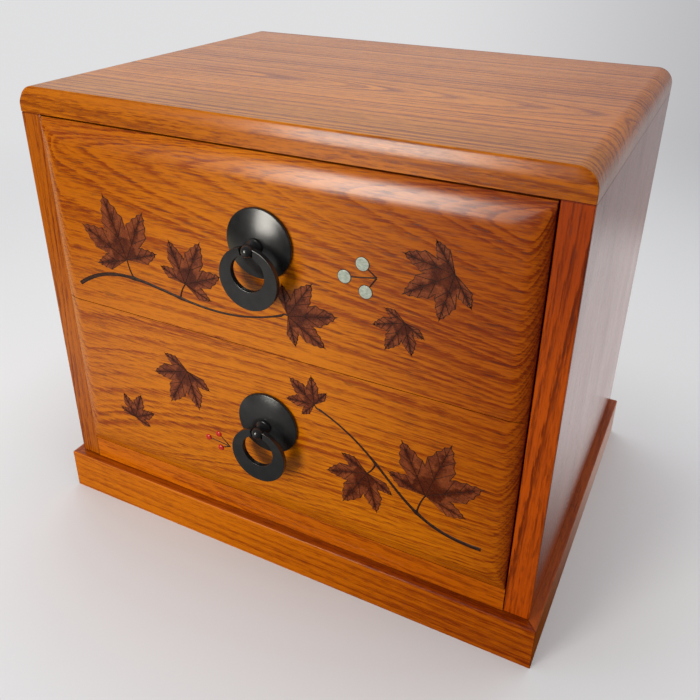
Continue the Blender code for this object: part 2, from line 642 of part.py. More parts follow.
def loose_leaves(drawer_name, field, first, leaves, finishes):
    for i, (foot, turn, span) in enumerate(leaves, first):
        foot = Vector(foot) * LAYOUT_STEP
        field.inlay(f"{drawer_name}_leaf_inlay_{i}", leaf_at(foot, turn, span),
                    leaf_at(foot, turn, span, SEAT), finishes["leaf"])


def upper_marquetry(front, split, finishes):
    """Spray that rises from the left of the upper front, with shell discs to the right of the pull."""
    field = Field(front, -1, split, 1)
    spray("upper", field, UPPER_STEM, UPPER_LEAVES, finishes)
    loose_leaves("upper", field, len(UPPER_LEAVES) + 1, UPPER_LOOSE_LEAVES, finishes)
    for i, centre in enumerate(UPPER_SHELLS, 1):
        field.disc(f"upper_shell_inlay_{i}", centre, SHELL_RADIUS, finishes["shell"])


def lower_marquetry(front, split, finishes):
    """Spray that rises from the right of the lower front, with loose leaves and berries to the left."""
    field = Field(front, 1, split, -1)
    spray("lower", field, LOWER_STEM, LOWER_LEAVES, finishes)
    loose_leaves("lower", field, len(LOWER_LEAVES) + 1, LOWER_LOOSE_LEAVES, finishes)
    for i, centre in enumerate(LOWER_BERRIES, 1):
        field.disc(f"lower_berry_inlay_{i}", centre, BERRY_RADIUS, finishes["berry"])


def drawer(name, floor, box_height, front_low, front_high, finishes):
    """One drawer, built about the underside of its box at the carcass front."""
    parent = make_empty(f"{name}_drawer", (0.0, FRONT_Y, floor))
    low, high = front_low - floor, front_high - floor
    front = drawer_front(name, parent, finishes["zelkova"], low, high)
    back_low = BOTTOM_GROOVE_HEIGHT + BOX_BOTTOM_THICKNESS + SEAT
    for side, sign in (("left", -1), ("right", 1)):
        box_side(f"{name}_drawer_{side}_side", sign, parent, finishes["paulownia"], box_height, back_low)
    box_back(f"{name}_drawer_back", parent, finishes["paulownia"], box_height, back_low)
    box_bottom(f"{name}_drawer_bottom", parent, finishes["paulownia"])
    ball = (0.0, BALL_Y, (low + high) / 2 + PLATE_LIFT)
    pull_plate(f"{name}_pull_plate", parent, finishes["iron"], ball)
    pull_post(f"{name}_pull_post", parent, finishes["iron"], ball)
    pull_fixing(name, parent, finishes["steel"], ball)
    pull_ring(f"{name}_pull_ring", parent, finishes["iron"], ball)
    bore = prism_mesh(circle(SHANK_RADIUS + BORE_CLEARANCE, SHANK_SEGMENTS), "Y", 0.0,
                      BALL_STANDOFF - FIELD_Y + 2 * FRONT_THICKNESS)
    combine(front, place(f"{name}_pull_bore_cut", bore, None, parent, ball), "DIFFERENCE")
    return front, low, high


def main():
    clear_scene()
    finishes = {
        "zelkova": make_material("zelkova", (0.50, 0.17, 0.02), 0.30),
        "paulownia": make_material("paulownia", (0.62, 0.47, 0.29), 0.65),
        "iron": make_material("black_iron", (0.02, 0.021, 0.022), 0.45, 0.6),
        "steel": make_material("zinc_steel", (0.55, 0.55, 0.55), 0.35, 1.0),
        "leaf": make_material("leaf_veneer", (0.060, 0.012, 0.012), 0.35),
        "stem": make_material("stem_veneer", (0.045, 0.020, 0.010), 0.35),
        "shell": make_material("shell", (0.42, 0.45, 0.36), 0.25),
        "berry": make_material("berry_lacquer", (0.40, 0.025, 0.015), 0.25),
    }
    carcass = make_empty("carcass", (0.0, FRONT_Y, 0.0))
    top_board(carcass, finishes["zelkova"])
    side_panel("left_side_panel", -1, carcass, finishes["zelkova"])
    side_panel("right_side_panel", 1, carcass, finishes["zelkova"])
    bottom_board(carcass, finishes["zelkova"])
    middle_shelf(carcass, finishes["paulownia"])
    back_panel(carcass, finishes["paulownia"])
    plinth(carcass, finishes["zelkova"], finishes["paulownia"])
    split = FRONT_SPLIT / 2
    upper_floor, lower_floor = SHELF_HIGH + SEAT, OPENING_FLOOR + SEAT
    front, low, high = drawer("upper", upper_floor, OPENING_TOP - BOX_HEADROOM - upper_floor,
                              SPLIT_LEVEL + split, OPENING_TOP - REVEAL, finishes)
    upper_marquetry(front, low, finishes)
    front, low, high = drawer("lower", lower_floor, SHELF_LOW - BOX_HEADROOM - lower_floor,
                              OPENING_FLOOR + FOOT_REVEAL, SPLIT_LEVEL - split, finishes)
    lower_marquetry(front, high, finishes)


main()
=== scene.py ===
"""Looks of the small two-drawer tansu chest: boards in amber lacquer with one solid figure through every
cut face, paulownia drawer boxes, black iron ring pulls and leaf marquetry, on a pale studio floor.

Metres, +Z up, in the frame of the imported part. The drawers open towards -Y.
"""

import json
import math

import bmesh
import bpy
from mathutils import Matrix, Vector

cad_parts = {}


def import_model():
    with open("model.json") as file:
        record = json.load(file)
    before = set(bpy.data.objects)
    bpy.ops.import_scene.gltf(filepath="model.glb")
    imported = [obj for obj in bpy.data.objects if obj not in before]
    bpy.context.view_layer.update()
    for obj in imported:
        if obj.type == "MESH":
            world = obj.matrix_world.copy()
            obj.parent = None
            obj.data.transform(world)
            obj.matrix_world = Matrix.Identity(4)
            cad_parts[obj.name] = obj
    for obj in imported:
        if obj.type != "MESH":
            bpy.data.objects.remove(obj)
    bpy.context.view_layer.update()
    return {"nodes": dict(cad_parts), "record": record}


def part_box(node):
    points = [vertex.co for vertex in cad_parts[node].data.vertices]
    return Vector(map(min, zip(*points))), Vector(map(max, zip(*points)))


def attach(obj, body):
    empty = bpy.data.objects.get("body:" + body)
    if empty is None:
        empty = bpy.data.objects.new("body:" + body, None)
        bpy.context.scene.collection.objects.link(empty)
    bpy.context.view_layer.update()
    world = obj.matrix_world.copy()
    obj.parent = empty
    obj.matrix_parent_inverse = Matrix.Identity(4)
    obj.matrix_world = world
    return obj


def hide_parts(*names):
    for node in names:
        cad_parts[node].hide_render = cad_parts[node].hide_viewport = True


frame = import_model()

MM = 0.001
X, Y, Z = range(3)

# Shared by several pieces
SEAT = 0.3 * MM
BEYOND = 40 * MM
EDGE_EASE = 0.8 * MM
CRISP_EASE = 0.25 * MM
EASE_SEGMENTS = 2
WELD = 0.001 * MM
TURNED_SEGMENTS = 96

# Angles, in degrees, above which edges stay sharp
CREASE = 30.0
FRONT_CREASE = 25.0
INLAY_CREASE = 40.0
ROUND_CREASE = 50.0

# Right and left corner of a rounded outline, each with the angle at which its arc starts
ROUNDED_CORNERS = ((1, 0), (-1, 90))

# Boards
TOP_CORNER_RADIUS = 10.5 * MM
TOP_CORNER_STEPS = 16
TOP_CROWN_HEIGHT = 8.0 * MM
TOP_CROWN_TILT = 17.0
TOP_CROWN_STEPS = 10
TOP_ARRIS = 0.5 * MM
TOP_ARRIS_STEPS = 3
TOP_REAR_EASE = (0.0, 0.3, 1.0)
TOP_SETTLE = 0.25 * MM
TONGUE_THICKNESS = 5 * MM
TONGUE_LENGTH = 5 * MM
TONGUE_STOP = 22 * MM

# Drawer fronts
PILLOW_RISE = 3.8 * MM
PILLOW_WIDTH = 10.8 * MM
PILLOW_LONG_WIDTH = 15.0 * MM
PILLOW_SIDE_RISE = 2.8 * MM
PILLOW_STEPS = 16
PILLOW_CORNER_STEPS = 8
PILLOW_CORNER_SHARE = 1.1
PILLOW_CORNER_RADIUS = 0.3 * MM
FRONT_TOP_SLACK = 0.4 * MM
FRONT_SIDE_FILL = 0.3 * MM

# Ring pulls
BALL_STANDOFF = 11.9 * MM
BALL_RADIUS = 3.6 * MM
BALL_STEPS = 24
NECK_RADIUS = 2.6 * MM
COLLAR_RADIUS = 4.6 * MM
COLLAR_THICKNESS = 1.4 * MM
COLLAR_EASE = 0.4 * MM
COLLAR_STEPS = 4
PLATE_RADIUS = 20 * MM
PLATE_RIM = 1.8 * MM
PLATE_DOME = 4.8 * MM
PLATE_STEPS = 20
PLATE_EDGE_RADIUS = 0.7 * MM
PLATE_EDGE_SWEEP = 80
PLATE_EDGE_STEPS = 6
SHANK_RADIUS = 2.4 * MM
RING_RADIUS = 18 * MM
RING_HOLE_RADIUS = 10.3 * MM
RING_TOP_WIDTH = 4.4 * MM
RING_THICKNESS = 3.0 * MM
RING_EASE = 0.35 * MM
RING_EASE_WAIST = 0.3
RING_STEPS = 120
PIN_RADIUS = 1.0 * MM
PIN_DEPTH = 2.0 * MM
PIN_ROOT = 1.5 * MM
PIN_SEGMENTS = 24

# Bamboo pegs
PEG_RADIUS = 1.2 * MM
PEG_PROUD = 0.12 * MM
PEG_SHOULDER = 0.4
PEG_CROWN = 0.85
PEG_SEGMENTS = 20
BACK_PEG_INSET = 3.5 * MM
BACK_PEG_SPACING = 44 * MM
LAP_PEG_SETBACK = 4.5 * MM
LAP_PEG_HEIGHTS = (0.18, 0.5, 0.82)

# Marquetry. A lobe has its heading in degrees and its share of the leaf's span
INLAY_SUNK = 0.3 * MM
MITRE_LIMIT = 0.22
TILE_PROUD = 0.24 * MM
TILE_EASE = 0.09 * MM
GROUND_PROUD = 0.05 * MM
GROUND_EASE = 0.03 * MM
GROUND_RIM = 0.16 * MM
VEIN_WIDTH = 0.34 * MM
LARGE_LEAF = 41 * MM
MEDIUM_LEAF = 31 * MM
SMALL_LEAF = 21 * MM
LEAF_LOBES = ((-88, 0.60), (-44, 0.88), (0, 1.0), (44, 0.88), (88, 0.60))
LEAF_VALLEY = 0.56
LOBE_BELLY = 0.62
LOBE_HALF_WIDTH = 0.21
VEIN_ROOTS = (0.34, 0.58, 0.79)
TOOTH_PLACES = (0.42, 0.74)
TOOTH_REACH = 0.018
NOTCH_PLACE = 0.42
NOTCH_DEPTH = 0.030
TIP_EDGE = 0.4
STEM_ROOT_WIDTH = 2.6 * MM
STEM_TIP_WIDTH = 1.1 * MM
STEM_PROUD = 0.34 * MM
STEM_STEPS = 12
STEM_FINENESS = 5
KNOT_SWELL = 0.45
KNOT_SPREAD = 1.2
STALK_WIDTH = 1.0 * MM
STALK_BOW = 0.7 * MM
LEAF_STALK_SHARES = (1.25, 0.80)
LEAF_STALK_STEPS = 8
DISC_STALK_SHARES = (0.95, 0.60)
DISC_STALK_STEPS = 6
ROD_SECTION = ((-0.5, 0.0), (-0.42, 0.45), (-0.22, 0.85), (0.0, 1.0),
               (0.22, 0.85), (0.42, 0.45), (0.5, 0.0))
SHELL_RADIUS = 3.6 * MM
SHELL_DOME = 0.15 * MM
SHELL_RIM = 0.32 * MM
BERRY_RADIUS = 2.0 * MM
BERRY_DOME = 0.8 * MM
DISC_SEAT_PROUD = 0.15 * MM
DISC_SHOULDER = 0.7
DISC_STEPS = 8
DISC_SEGMENTS = 48

# Layout of the marquetry, as in the solids. Places are millimetres from the field's side edge and from the
# split. A leaf on a stem has its step on the stem, its stalk's length in millimetres, its heading in degrees
# and its span, and a loose leaf its place, heading and span
UPPER_STEM = ((3, 12), (50, 46), (85, 0), (150, 26))
UPPER_LEAVES = ((4, 12, 108, LARGE_LEAF), (7, 11, 66, MEDIUM_LEAF), (STEM_STEPS, 4, 12, MEDIUM_LEAF))
UPPER_LOOSE_LEAVES = (((246, 72), 212, MEDIUM_LEAF), ((222, 40), 240, SMALL_LEAF))
UPPER_SHELLS = ((188, 58), (198, 67), (200, 52))
UPPER_SHELL_JOINT = (206, 61)
LOWER_STEM = ((4, 88), (56, 90), (56, 48), (104, 28))
LOWER_LEAVES = ((4, 15, -108, LARGE_LEAF), (8, 10, 60, MEDIUM_LEAF), (STEM_STEPS, 4, -40, SMALL_LEAF))
LOWER_LOOSE_LEAVES = (((196, 30), 60, MEDIUM_LEAF), ((244, 80), 250, SMALL_LEAF))
LOWER_BERRIES = ((176, 70), (184, 75), (175, 80))
LOWER_BERRY_JOINT = (168, 77)

# Wood colours, linear
AMBER = (0.615, 0.145, 0.001)
RUST = (0.230, 0.026, 0.001)
MARIGOLD = (0.605, 0.172, 0.001)
COPPER = (0.290, 0.046, 0.001)
GOLD = (0.650, 0.170, 0.001)
SIENNA = (0.285, 0.042, 0.001)
HONEY = (0.640, 0.205, 0.002)
TAWNY = (0.285, 0.060, 0.002)
CHESTNUT = (0.430, 0.102, 0.002)
RUSSET = (0.475, 0.072, 0.001)
CLARET = (0.175, 0.022, 0.001)
PORE = (0.085, 0.011, 0.001)
STRAW = (0.66, 0.50, 0.31)
FAWN = (0.46, 0.31, 0.165)
UMBER = (0.30, 0.19, 0.095)

# Stains, tints and painted shade, which multiply the colour under them
# End-grain stain; on the fronts, where only the right end gets it, it is painted shade on the right rounding
END_STAIN_AND_SHADE = (0.42, 0.18, 0.14)
# Painted shade, for boards that are darker towards one end
DUSK_SHADE = (0.48, 0.24, 0.18)
# Painted shade on the faces that look up, such as the plinth's ledge under the carcass
LEDGE_SHADE = (0.64, 0.48, 0.55)
# Painted shade on the faces of the top that do not look up, such as its front edge
TOP_EDGE_SHADE = (0.94, 0.74, 0.35)
# Tint that makes a strip along the front of the top a little darker and less red
FRONT_STRIP_TINT = (0.86, 0.91, 0.96)
REAR_STAIN = (0.91, 0.88, 0.88)
SEAM_STAIN = (0.50, 0.40, 0.40)
SINGE_STAIN = (0.42, 0.34, 0.36)

# Other colours, linear
IRON_TONES = ((0.013, 0.013, 0.014), (0.019, 0.019, 0.019))
ZINC_TONES = ((0.42, 0.42, 0.43), (0.62, 0.62, 0.60))
LEAF_TONES = ((0.130, 0.026, 0.009), (0.240, 0.054, 0.014))
LEAF_FLECK = (0.300, 0.100, 0.030)
STEM_TONES = ((0.013, 0.005, 0.004), (0.060, 0.019, 0.010))
SHELL_TONES = ((0.29, 0.345, 0.285), (0.47, 0.51, 0.43))
SHELL_PEARL = (0.50, 0.44, 0.42)
BERRY_TONES = ((0.40, 0.012, 0.010), (0.62, 0.035, 0.022))
BAMBOO_TONES = ((0.36, 0.21, 0.085), (0.26, 0.14, 0.055))
BAMBOO_FIBRE = (0.11, 0.055, 0.025)

# Reliefs of the finishes
WOOD_RELIEF = 0.014 * MM
BARE_WOOD_RELIEF = 0.05 * MM
IRON_RELIEF = 0.006 * MM
BERRY_RELIEF = 0.015 * MM
FINE_RELIEF = 0.02 * MM

# Noises of the wood: scale along the grain and across it, per millimetre, then detail and roughness
STRAY_NOISE = (1 / 130, 1 / 60, 2.0, 0.5)
COMB_NOISE = (0.11, 1.2, 2.0, 0.6)
FIBRE_NOISE = (0.03, 1.1, 3.0, 0.62)
STREAK_NOISE = (0.010, 0.8, 2.0, 0.5)
SWELL_NOISE = (1 / 60, 1 / 3.5, 2.0, 0.5)
CLOUD_NOISE = (1 / 70, 1 / 25, 2.0, 0.5)
PORE_NOISE = (0.20, 2.4, 1.0, 0.5)

# Figure of the wood. Places and widths are millimetres, and a late wood's rise is a share of a year
FRONT_MIDDLE = 160.0
SHEET_BOW = 0.00015
SHEET_LEAN = 0.11
SHEET_TWIST = 0.0003
SHEET_SLOPE = 0.0013
SHEET_CURL = 0.00005
TOP_SEAM = -5.0
SEAM_WIDTH = 0.35
STRIP_BEFORE_SEAM = (84.0, 56.0)
REAR_BOARD_YEARS = 97
LATE_WOOD_RISE = 0.22
END_FACING = (0.08, 0.65)
UPWARD_FACING = (0.5, 0.9)
UPRIGHT_FACING = (0.3, 0.9)

# Studio
EYE = Vector((0.20989, -0.42710, 0.38699))
LOOK_AZIMUTH = -26.593
LOOK_DOWN = 27.285
LOOK_ROLL = 0.617
LENS = 39.63
SHIFT = (-0.0036, -0.0727)
NEAR_CLIP = 0.01
OVERHEAD_PLACE = (-0.05, 0.20, 1.5)
OVERHEAD_AIM = (-0.02, 0, 0.12)
OVERHEAD_SIZE = (1.2, 1.2)
OVERHEAD_POWER = 11.5
OVERHEAD_COLOUR = (1.0, 1.0, 1.0)
FRONT_LAMP_PLACE = (-0.36, -1.10, 0.33)
FRONT_LAMP_AIM = (0, 0, 0.22)
FRONT_LAMP_SIZE = (0.37, 0.54)
FRONT_LAMP_POWER = 8.2
FRONT_LAMP_COLOUR = (1.0, 0.96, 0.87)
FLOOR_RADIUS = 7.0
FLOOR_SEGMENTS = 64
# Painted shade: the floor is darker and cooler in front of the chest, which also offsets the warm front lamp
FLOOR_NEAR_SHADE = (0.63, 0.67, 0.725)
FLOOR_FAR = (0.78, 0.785, 0.80)
FLOOR_CLOUD = (0.80, 0.80, 0.81)
FLOOR_BOUNCE = (0.30, 0.30, 0.30)
FLOOR_SHADE_FADE = (-0.45, -0.05)
FLOOR_SWEEP = (0.30, 1.2)
BACKDROP_LIGHT = (0.74, 0.74, 0.75)
# Painted shade of the backdrop on the side that falls dark
BACKDROP_DARK = (0.44, 0.44, 0.46)
BACKDROP_FADE = (0.0, 0.5)
DARK_SIDE = math.radians(66)
DARK_WAY = Vector((math.sin(DARK_SIDE), math.cos(DARK_SIDE)))
SHEEN_NEAR = (0.92, 0.92, 0.93)
SHEEN_FAR = (0.50, 0.50, 0.51)
SHEEN_BESIDE = (0.74, 0.64, 0.42)
SHEEN_FADE = (0.48, 0.68)
SHEEN_BESIDE_FADE = (0.0, 0.2)
BESIDE_EDGE = (-0.40, -0.18)
LIT_EDGE = (-0.10, 0.15)
LIT_EDGE_BESIDE = (-0.43, -0.18)
POOL_PLACE = (-0.22, -0.40)
POOL_SPREAD = (0.06, 0.36)
POOL_SHEEN = (0.36, 0.35, 0.34)
DIM_FLOOR = (0.006, 0.006, 0.006)
DIM_ROOM = (0.012, 0.012, 0.012)
DIM_ROOM_FADE = (-0.25, 0.25)
MIRRORED_SHARE = 0.78
SKY_EVEN = (0.52, 0.52, 0.525)
SKY_DIM = (0.26, 0.26, 0.265)
SKY_DIM_SIDE = (0.0, 0.8)
SKY_DIM_HEIGHT = (0.1, 0.7)


# Shading

# Places of the colour sockets among those of a Mix node
MIX_SHARE = 0
MIX_ONE = 6
MIX_OTHER = 7
MIX_RESULT = 2


class Value:
    """A socket of a recipe. Arithmetic on a number adds Math nodes."""

    def __init__(self, recipe, socket):
        self.recipe = recipe
        self.socket = socket

    def math(self, operation, *others):
        return self.recipe.math(operation, self, *others)

    def __add__(self, other):
        return self.math("ADD", other)

    def __sub__(self, other):
        return self.math("SUBTRACT", other)

    def __rsub__(self, other):
        return self.recipe.math("SUBTRACT", other, self)

    def __mul__(self, other):
        return self.math("MULTIPLY", other)

    def __truediv__(self, other):
        return self.math("DIVIDE", other)

    def __rtruediv__(self, other):
        return self.recipe.math("DIVIDE", other, self)

    __radd__ = __add__
    __rmul__ = __mul__

    def ramp(self, low, high):
        """0 at low, 1 at high, a soft step between them and steady outside."""
        return self.recipe.node("ShaderNodeMapRange", {"interpolation_type": "SMOOTHSTEP"},
                                {"Value": self, "From Min": low, "From Max": high})

    def split(self):
        """The three parts of a vector or colour."""
        node = self.recipe.node("ShaderNodeSeparateXYZ", {}, {0: self}).socket.node
        return [Value(self.recipe, socket) for socket in node.outputs]


class Recipe:
    """Adds nodes to the tree of one material or world."""

    def __init__(self, owner):
        owner.use_nodes = True
        self.tree = owner.node_tree

    def fill(self, node, inputs):
        for key, value in inputs.items():
            socket = node.inputs[key]
            if isinstance(value, Value):
                self.tree.links.new(value.socket, socket)
            else:
                opaque = socket.type == "RGBA" and len(value) == 3
                socket.default_value = (*value, 1.0) if opaque else value

    def node(self, kind, settings, inputs, output=0):
        made = self.tree.nodes.new(kind)
        for name, value in settings.items():
            setattr(made, name, value)
        self.fill(made, inputs)
        return Value(self, made.outputs[output])

    def math(self, operation, *values):
        return self.node("ShaderNodeMath", {"operation": operation}, dict(enumerate(values)))

    def join(self, x, y, z):
        return self.node("ShaderNodeCombineXYZ", {}, {0: x, 1: y, 2: z})

    def mix(self, share, one, other, blend="MIX"):
        """Colour that goes from one to other as share goes from 0 to 1."""
        return self.node("ShaderNodeMix", {"data_type": "RGBA", "blend_type": blend},
                         {MIX_SHARE: share, MIX_ONE: one, MIX_OTHER: other}, MIX_RESULT)

    def stain(self, share, colour, tint):
        """Colour that is multiplied by a tint as share goes from 0 to 1."""
        return self.mix(share, colour, tint, "MULTIPLY")

    def scaled(self, vector, factor):
        return self.node("ShaderNodeVectorMath", {"operation": "SCALE"}, {0: vector, "Scale": factor})

    def noise(self, vector, detail=2.0, roughness=0.5, output="Fac"):
        inputs = {"Vector": vector, "Scale": 1.0, "Detail": detail, "Roughness": roughness}
        return self.node("ShaderNodeTexNoise", {}, inputs, output)

    def line_noise(self, position, detail):
        """Noise along one number."""
        return self.node("ShaderNodeTexNoise", {"noise_dimensions": "1D"},
                         {"W": position, "Scale": 1.0, "Detail": detail})

    def chance(self, number):
        """A random number for each whole number."""
        return self.node("ShaderNodeTexWhiteNoise", {"noise_dimensions": "1D"}, {"W": number})

    def place(self):
        """Place on the piece at rest."""
        return self.node("ShaderNodeTexCoord", {}, {}, "Object")

    def facing(self):
        """The way that the surface faces, on the piece at rest."""
        return self.node("ShaderNodeTexCoord", {}, {}, "Normal")

    def rays(self):
        """Whether a ray comes from the camera, and whether it is a reflection."""
        node = self.node("ShaderNodeLightPath", {}, {}).socket.node
        return Value(self, node.outputs["Is Camera Ray"]), Value(self, node.outputs["Is Glossy Ray"])


class Finish(Recipe):
    """A material with its Principled shader. Steady values are set on the sockets."""

    def __init__(self, name, **steady):
        self.material = bpy.data.materials.new(name)
        super().__init__(self.material)
        self.shader = self.tree.nodes["Principled BSDF"]
        self.fill(self.shader, {key.replace("_", " "): value for key, value in steady.items()})

    def paint(self, colour, roughness, height, depth):
        """Links what varies over the surface. Height is in shares of depth, in metres."""
        bump = self.node("ShaderNodeBump", {}, {"Height": height, "Distance": depth, "Strength": 1.0})
        self.fill(self.shader, {"Base Color": colour, "Roughness": roughness, "Normal": bump})
        return self.material


class Species:
    """How one wood looks when sawn and finished."""

    def __init__(self, light, dark, pore, gloss, pore_share, relief, swell):
        self.light = light
        self.dark = dark
        self.pore = pore
        self.gloss = gloss
        self.pore_share = pore_share
        self.relief = relief
        self.swell = swell


def zelkova(light, dark, gloss=0.23, swell=2.5):
    """Lacquered zelkova in two tones."""
    return Species(light, dark, PORE, gloss, pore_share=0.75, relief=WOOD_RELIEF, swell=swell)


PAULOWNIA = Species(STRAW, FAWN, UMBER, gloss=0.55, pore_share=0.35, relief=BARE_WOOD_RELIEF, swell=0.3)


class ShadeDusk:
    """Painted shade towards one end of a board, with more late wood there: where it begins and ends along
    the grain, the share of its painted shade, how much more late wood it has and how it moves with height."""

    def __init__(self, begin, end, share, late_wood=0.0, climb=0.0):
        self.begin = begin
        self.end = end
        self.share = share
        self.late_wood = late_wood
        self.climb = climb


def round_log(along, pith, lean=(0.0, 0.0)):
    """Rings as cylinders round a pith line that runs along an axis.

    pith is the line's place on the next two axes, in millimetres, and lean how far it strays from them per
    millimetre.
    """
    def rings(places):
        grain, one, other = (places[(along + k) % 3] for k in range(3))
        one_off = one - pith[0] - grain * lean[0]
        other_off = other - pith[1] - grain * lean[1]
        return (one_off * one_off + other_off * other_off).math("SQRT")
    return rings


def front_sheet(places):
    """Rings as bent sheets that the fronts cut at a low angle: wide at the upper left, close at the lower
    right."""
    x, y, z = places
    rise = z - FRONT_MIDDLE
    bowed = (rise * rise) * SHEET_BOW + y - rise * SHEET_LEAN
    return bowed - x * rise * SHEET_TWIST - x * SHEET_SLOPE - x * x * SHEET_CURL


def sawn_board(name, species, along, rings, ring=2.0, drift=1.2, figure=1.0, hair=1.0, fleck=1.0,
               ends=(1.0, 1.0), shade_dusks=(), upward=None, upright=None, second=None, seed=0.0):
    """Wood cut from a log, so that all faces of a board show one figure.

    along is the axis that the grain follows. rings gives the distance through the log, ring is the width
    of a year, drift how far rings wander, figure how strongly they show, hair how strongly fine dashes do,
    and fleck the size of the pores. ends has the shares of end stain on the low and the high end, and on
    the fronts the high end's share is painted shade on the right rounding. dusks are the ends that get
    painted shade and more late wood. upward and upright are painted shade on the faces that look up and
    on the others.
    second is the place on Y where another board is glued on, and its rings. All lengths here are
    millimetres.
    """
    wood = Finish(name)
    places = [part * 1000 for part in wood.place().split()]
    grain, one, other = (places[(along + k) % 3] for k in range(3))

    def drawn(noise, shift, coarse=1.0, output="Fac"):
        """One of the noises, drawn out along the grain. coarse says how many times as large it is."""
        lengthwise, crosswise, detail, roughness = noise
        across = crosswise / coarse
        vector = wood.join(grain * (lengthwise / coarse) + shift, one * across, other * across)
        return wood.noise(vector, detail, roughness, output)

    stray = drawn(STRAY_NOISE, seed, output="Color").split()
    strayed = list(places)
    for k in (1, 2):
        axis = (along + k) % 3
        strayed[axis] = places[axis] + (stray[k] - 0.5) * (2 * drift)
    comb = drawn(COMB_NOISE, seed)
    fibre = drawn(FIBRE_NOISE, -seed)
    streak = drawn(STREAK_NOISE, seed)
    swell = drawn(SWELL_NOISE, seed)
    cloud = drawn(CLOUD_NOISE, -seed)

    # Years
    count = rings(strayed) / ring
    if second:
        seam, rear_rings = second
        behind = places[Y].math("GREATER_THAN", seam)
        count = count * (1 - behind) + (rear_rings(strayed) / ring + REAR_BOARD_YEARS) * behind
    count = count + (wood.line_noise(count / 4 + seed, 2.0) - 0.5) * 3 + (comb - 0.5) * 0.4
    year = count.math("FLOOR")
    phase = count - year
    vigour = 0.42 + wood.chance(year + seed) * 0.58
    late = phase.ramp(0.0, LATE_WOOD_RISE) * (1 - phase.ramp(LATE_WOOD_RISE, 1.0)) * vigour
    fine = wood.line_noise(count * 3.3 + seed, 2.0)

    # Colour
    pores = drawn(PORE_NOISE, 0.0, fleck).ramp(0.54, 0.72)
    pores = pores * (0.22 + late * 0.78) * species.pore_share
    bands = late * 0.66 + (fine - 0.5) * 0.9
    hairs = comb.ramp(0.30, 0.70) * 0.5 + streak.ramp(0.30, 0.70) * 0.35
    dark = bands * figure + (fibre - 0.5) * 1.0 + (hairs - 0.42) * hair + (cloud - 0.5) * 0.5
    shade_fades = []
    for dusk in shade_dusks:
        along_dusk = grain + (places[Z] - FRONT_MIDDLE) * dusk.climb
        shade_fades.append(along_dusk.ramp(dusk.begin, dusk.end))
        dark = dark + shade_fades[-1] * dusk.late_wood
    colour = wood.mix(dark.ramp(-0.15, 0.95), species.light, species.dark)
    colour = wood.mix(pores, colour, species.pore)

    # Stains, and painted shade
    facing = wood.facing().split()
    # End stain; on the fronts' right rounding it is painted shade
    low_end = (0 - facing[along]).ramp(*END_FACING) * ends[0]
    high_end = facing[along].ramp(*END_FACING) * ends[1]
    colour = wood.stain(low_end + high_end, colour, END_STAIN_AND_SHADE)
    if second:
        strip = 1 - places[Y].ramp(*(seam - before for before in STRIP_BEFORE_SEAM))
        glue_line = 1 - (places[Y] - seam).math("ABSOLUTE").ramp(0.0, SEAM_WIDTH)
        colour = wood.stain(behind, colour, REAR_STAIN)
        colour = wood.stain(strip, colour, FRONT_STRIP_TINT)
        colour = wood.stain(glue_line, colour, SEAM_STAIN)
    # Painted shade towards the ends that the dusks mark
    for dusk, fade in zip(shade_dusks, shade_fades):
        colour = wood.stain(fade * dusk.share, colour, DUSK_SHADE)
    # Painted shade on faces that look up, and on faces that do not
    if upward:
        colour = wood.stain(facing[Z].ramp(*UPWARD_FACING), colour, upward)
    if upright:
        colour = wood.stain(1 - facing[Z].ramp(*UPRIGHT_FACING), colour, upright)

    # Lacquer
    roughness = species.gloss + pores * 0.12 + (cloud - 0.5) * 0.08 + (streak - 0.5) * 0.08
    height = 1 - pores * 0.8 - late * 0.2 + (fibre - 0.5) * 0.4 + (swell - 0.5) * species.swell
    return wood.paint(colour, roughness, height, species.relief)


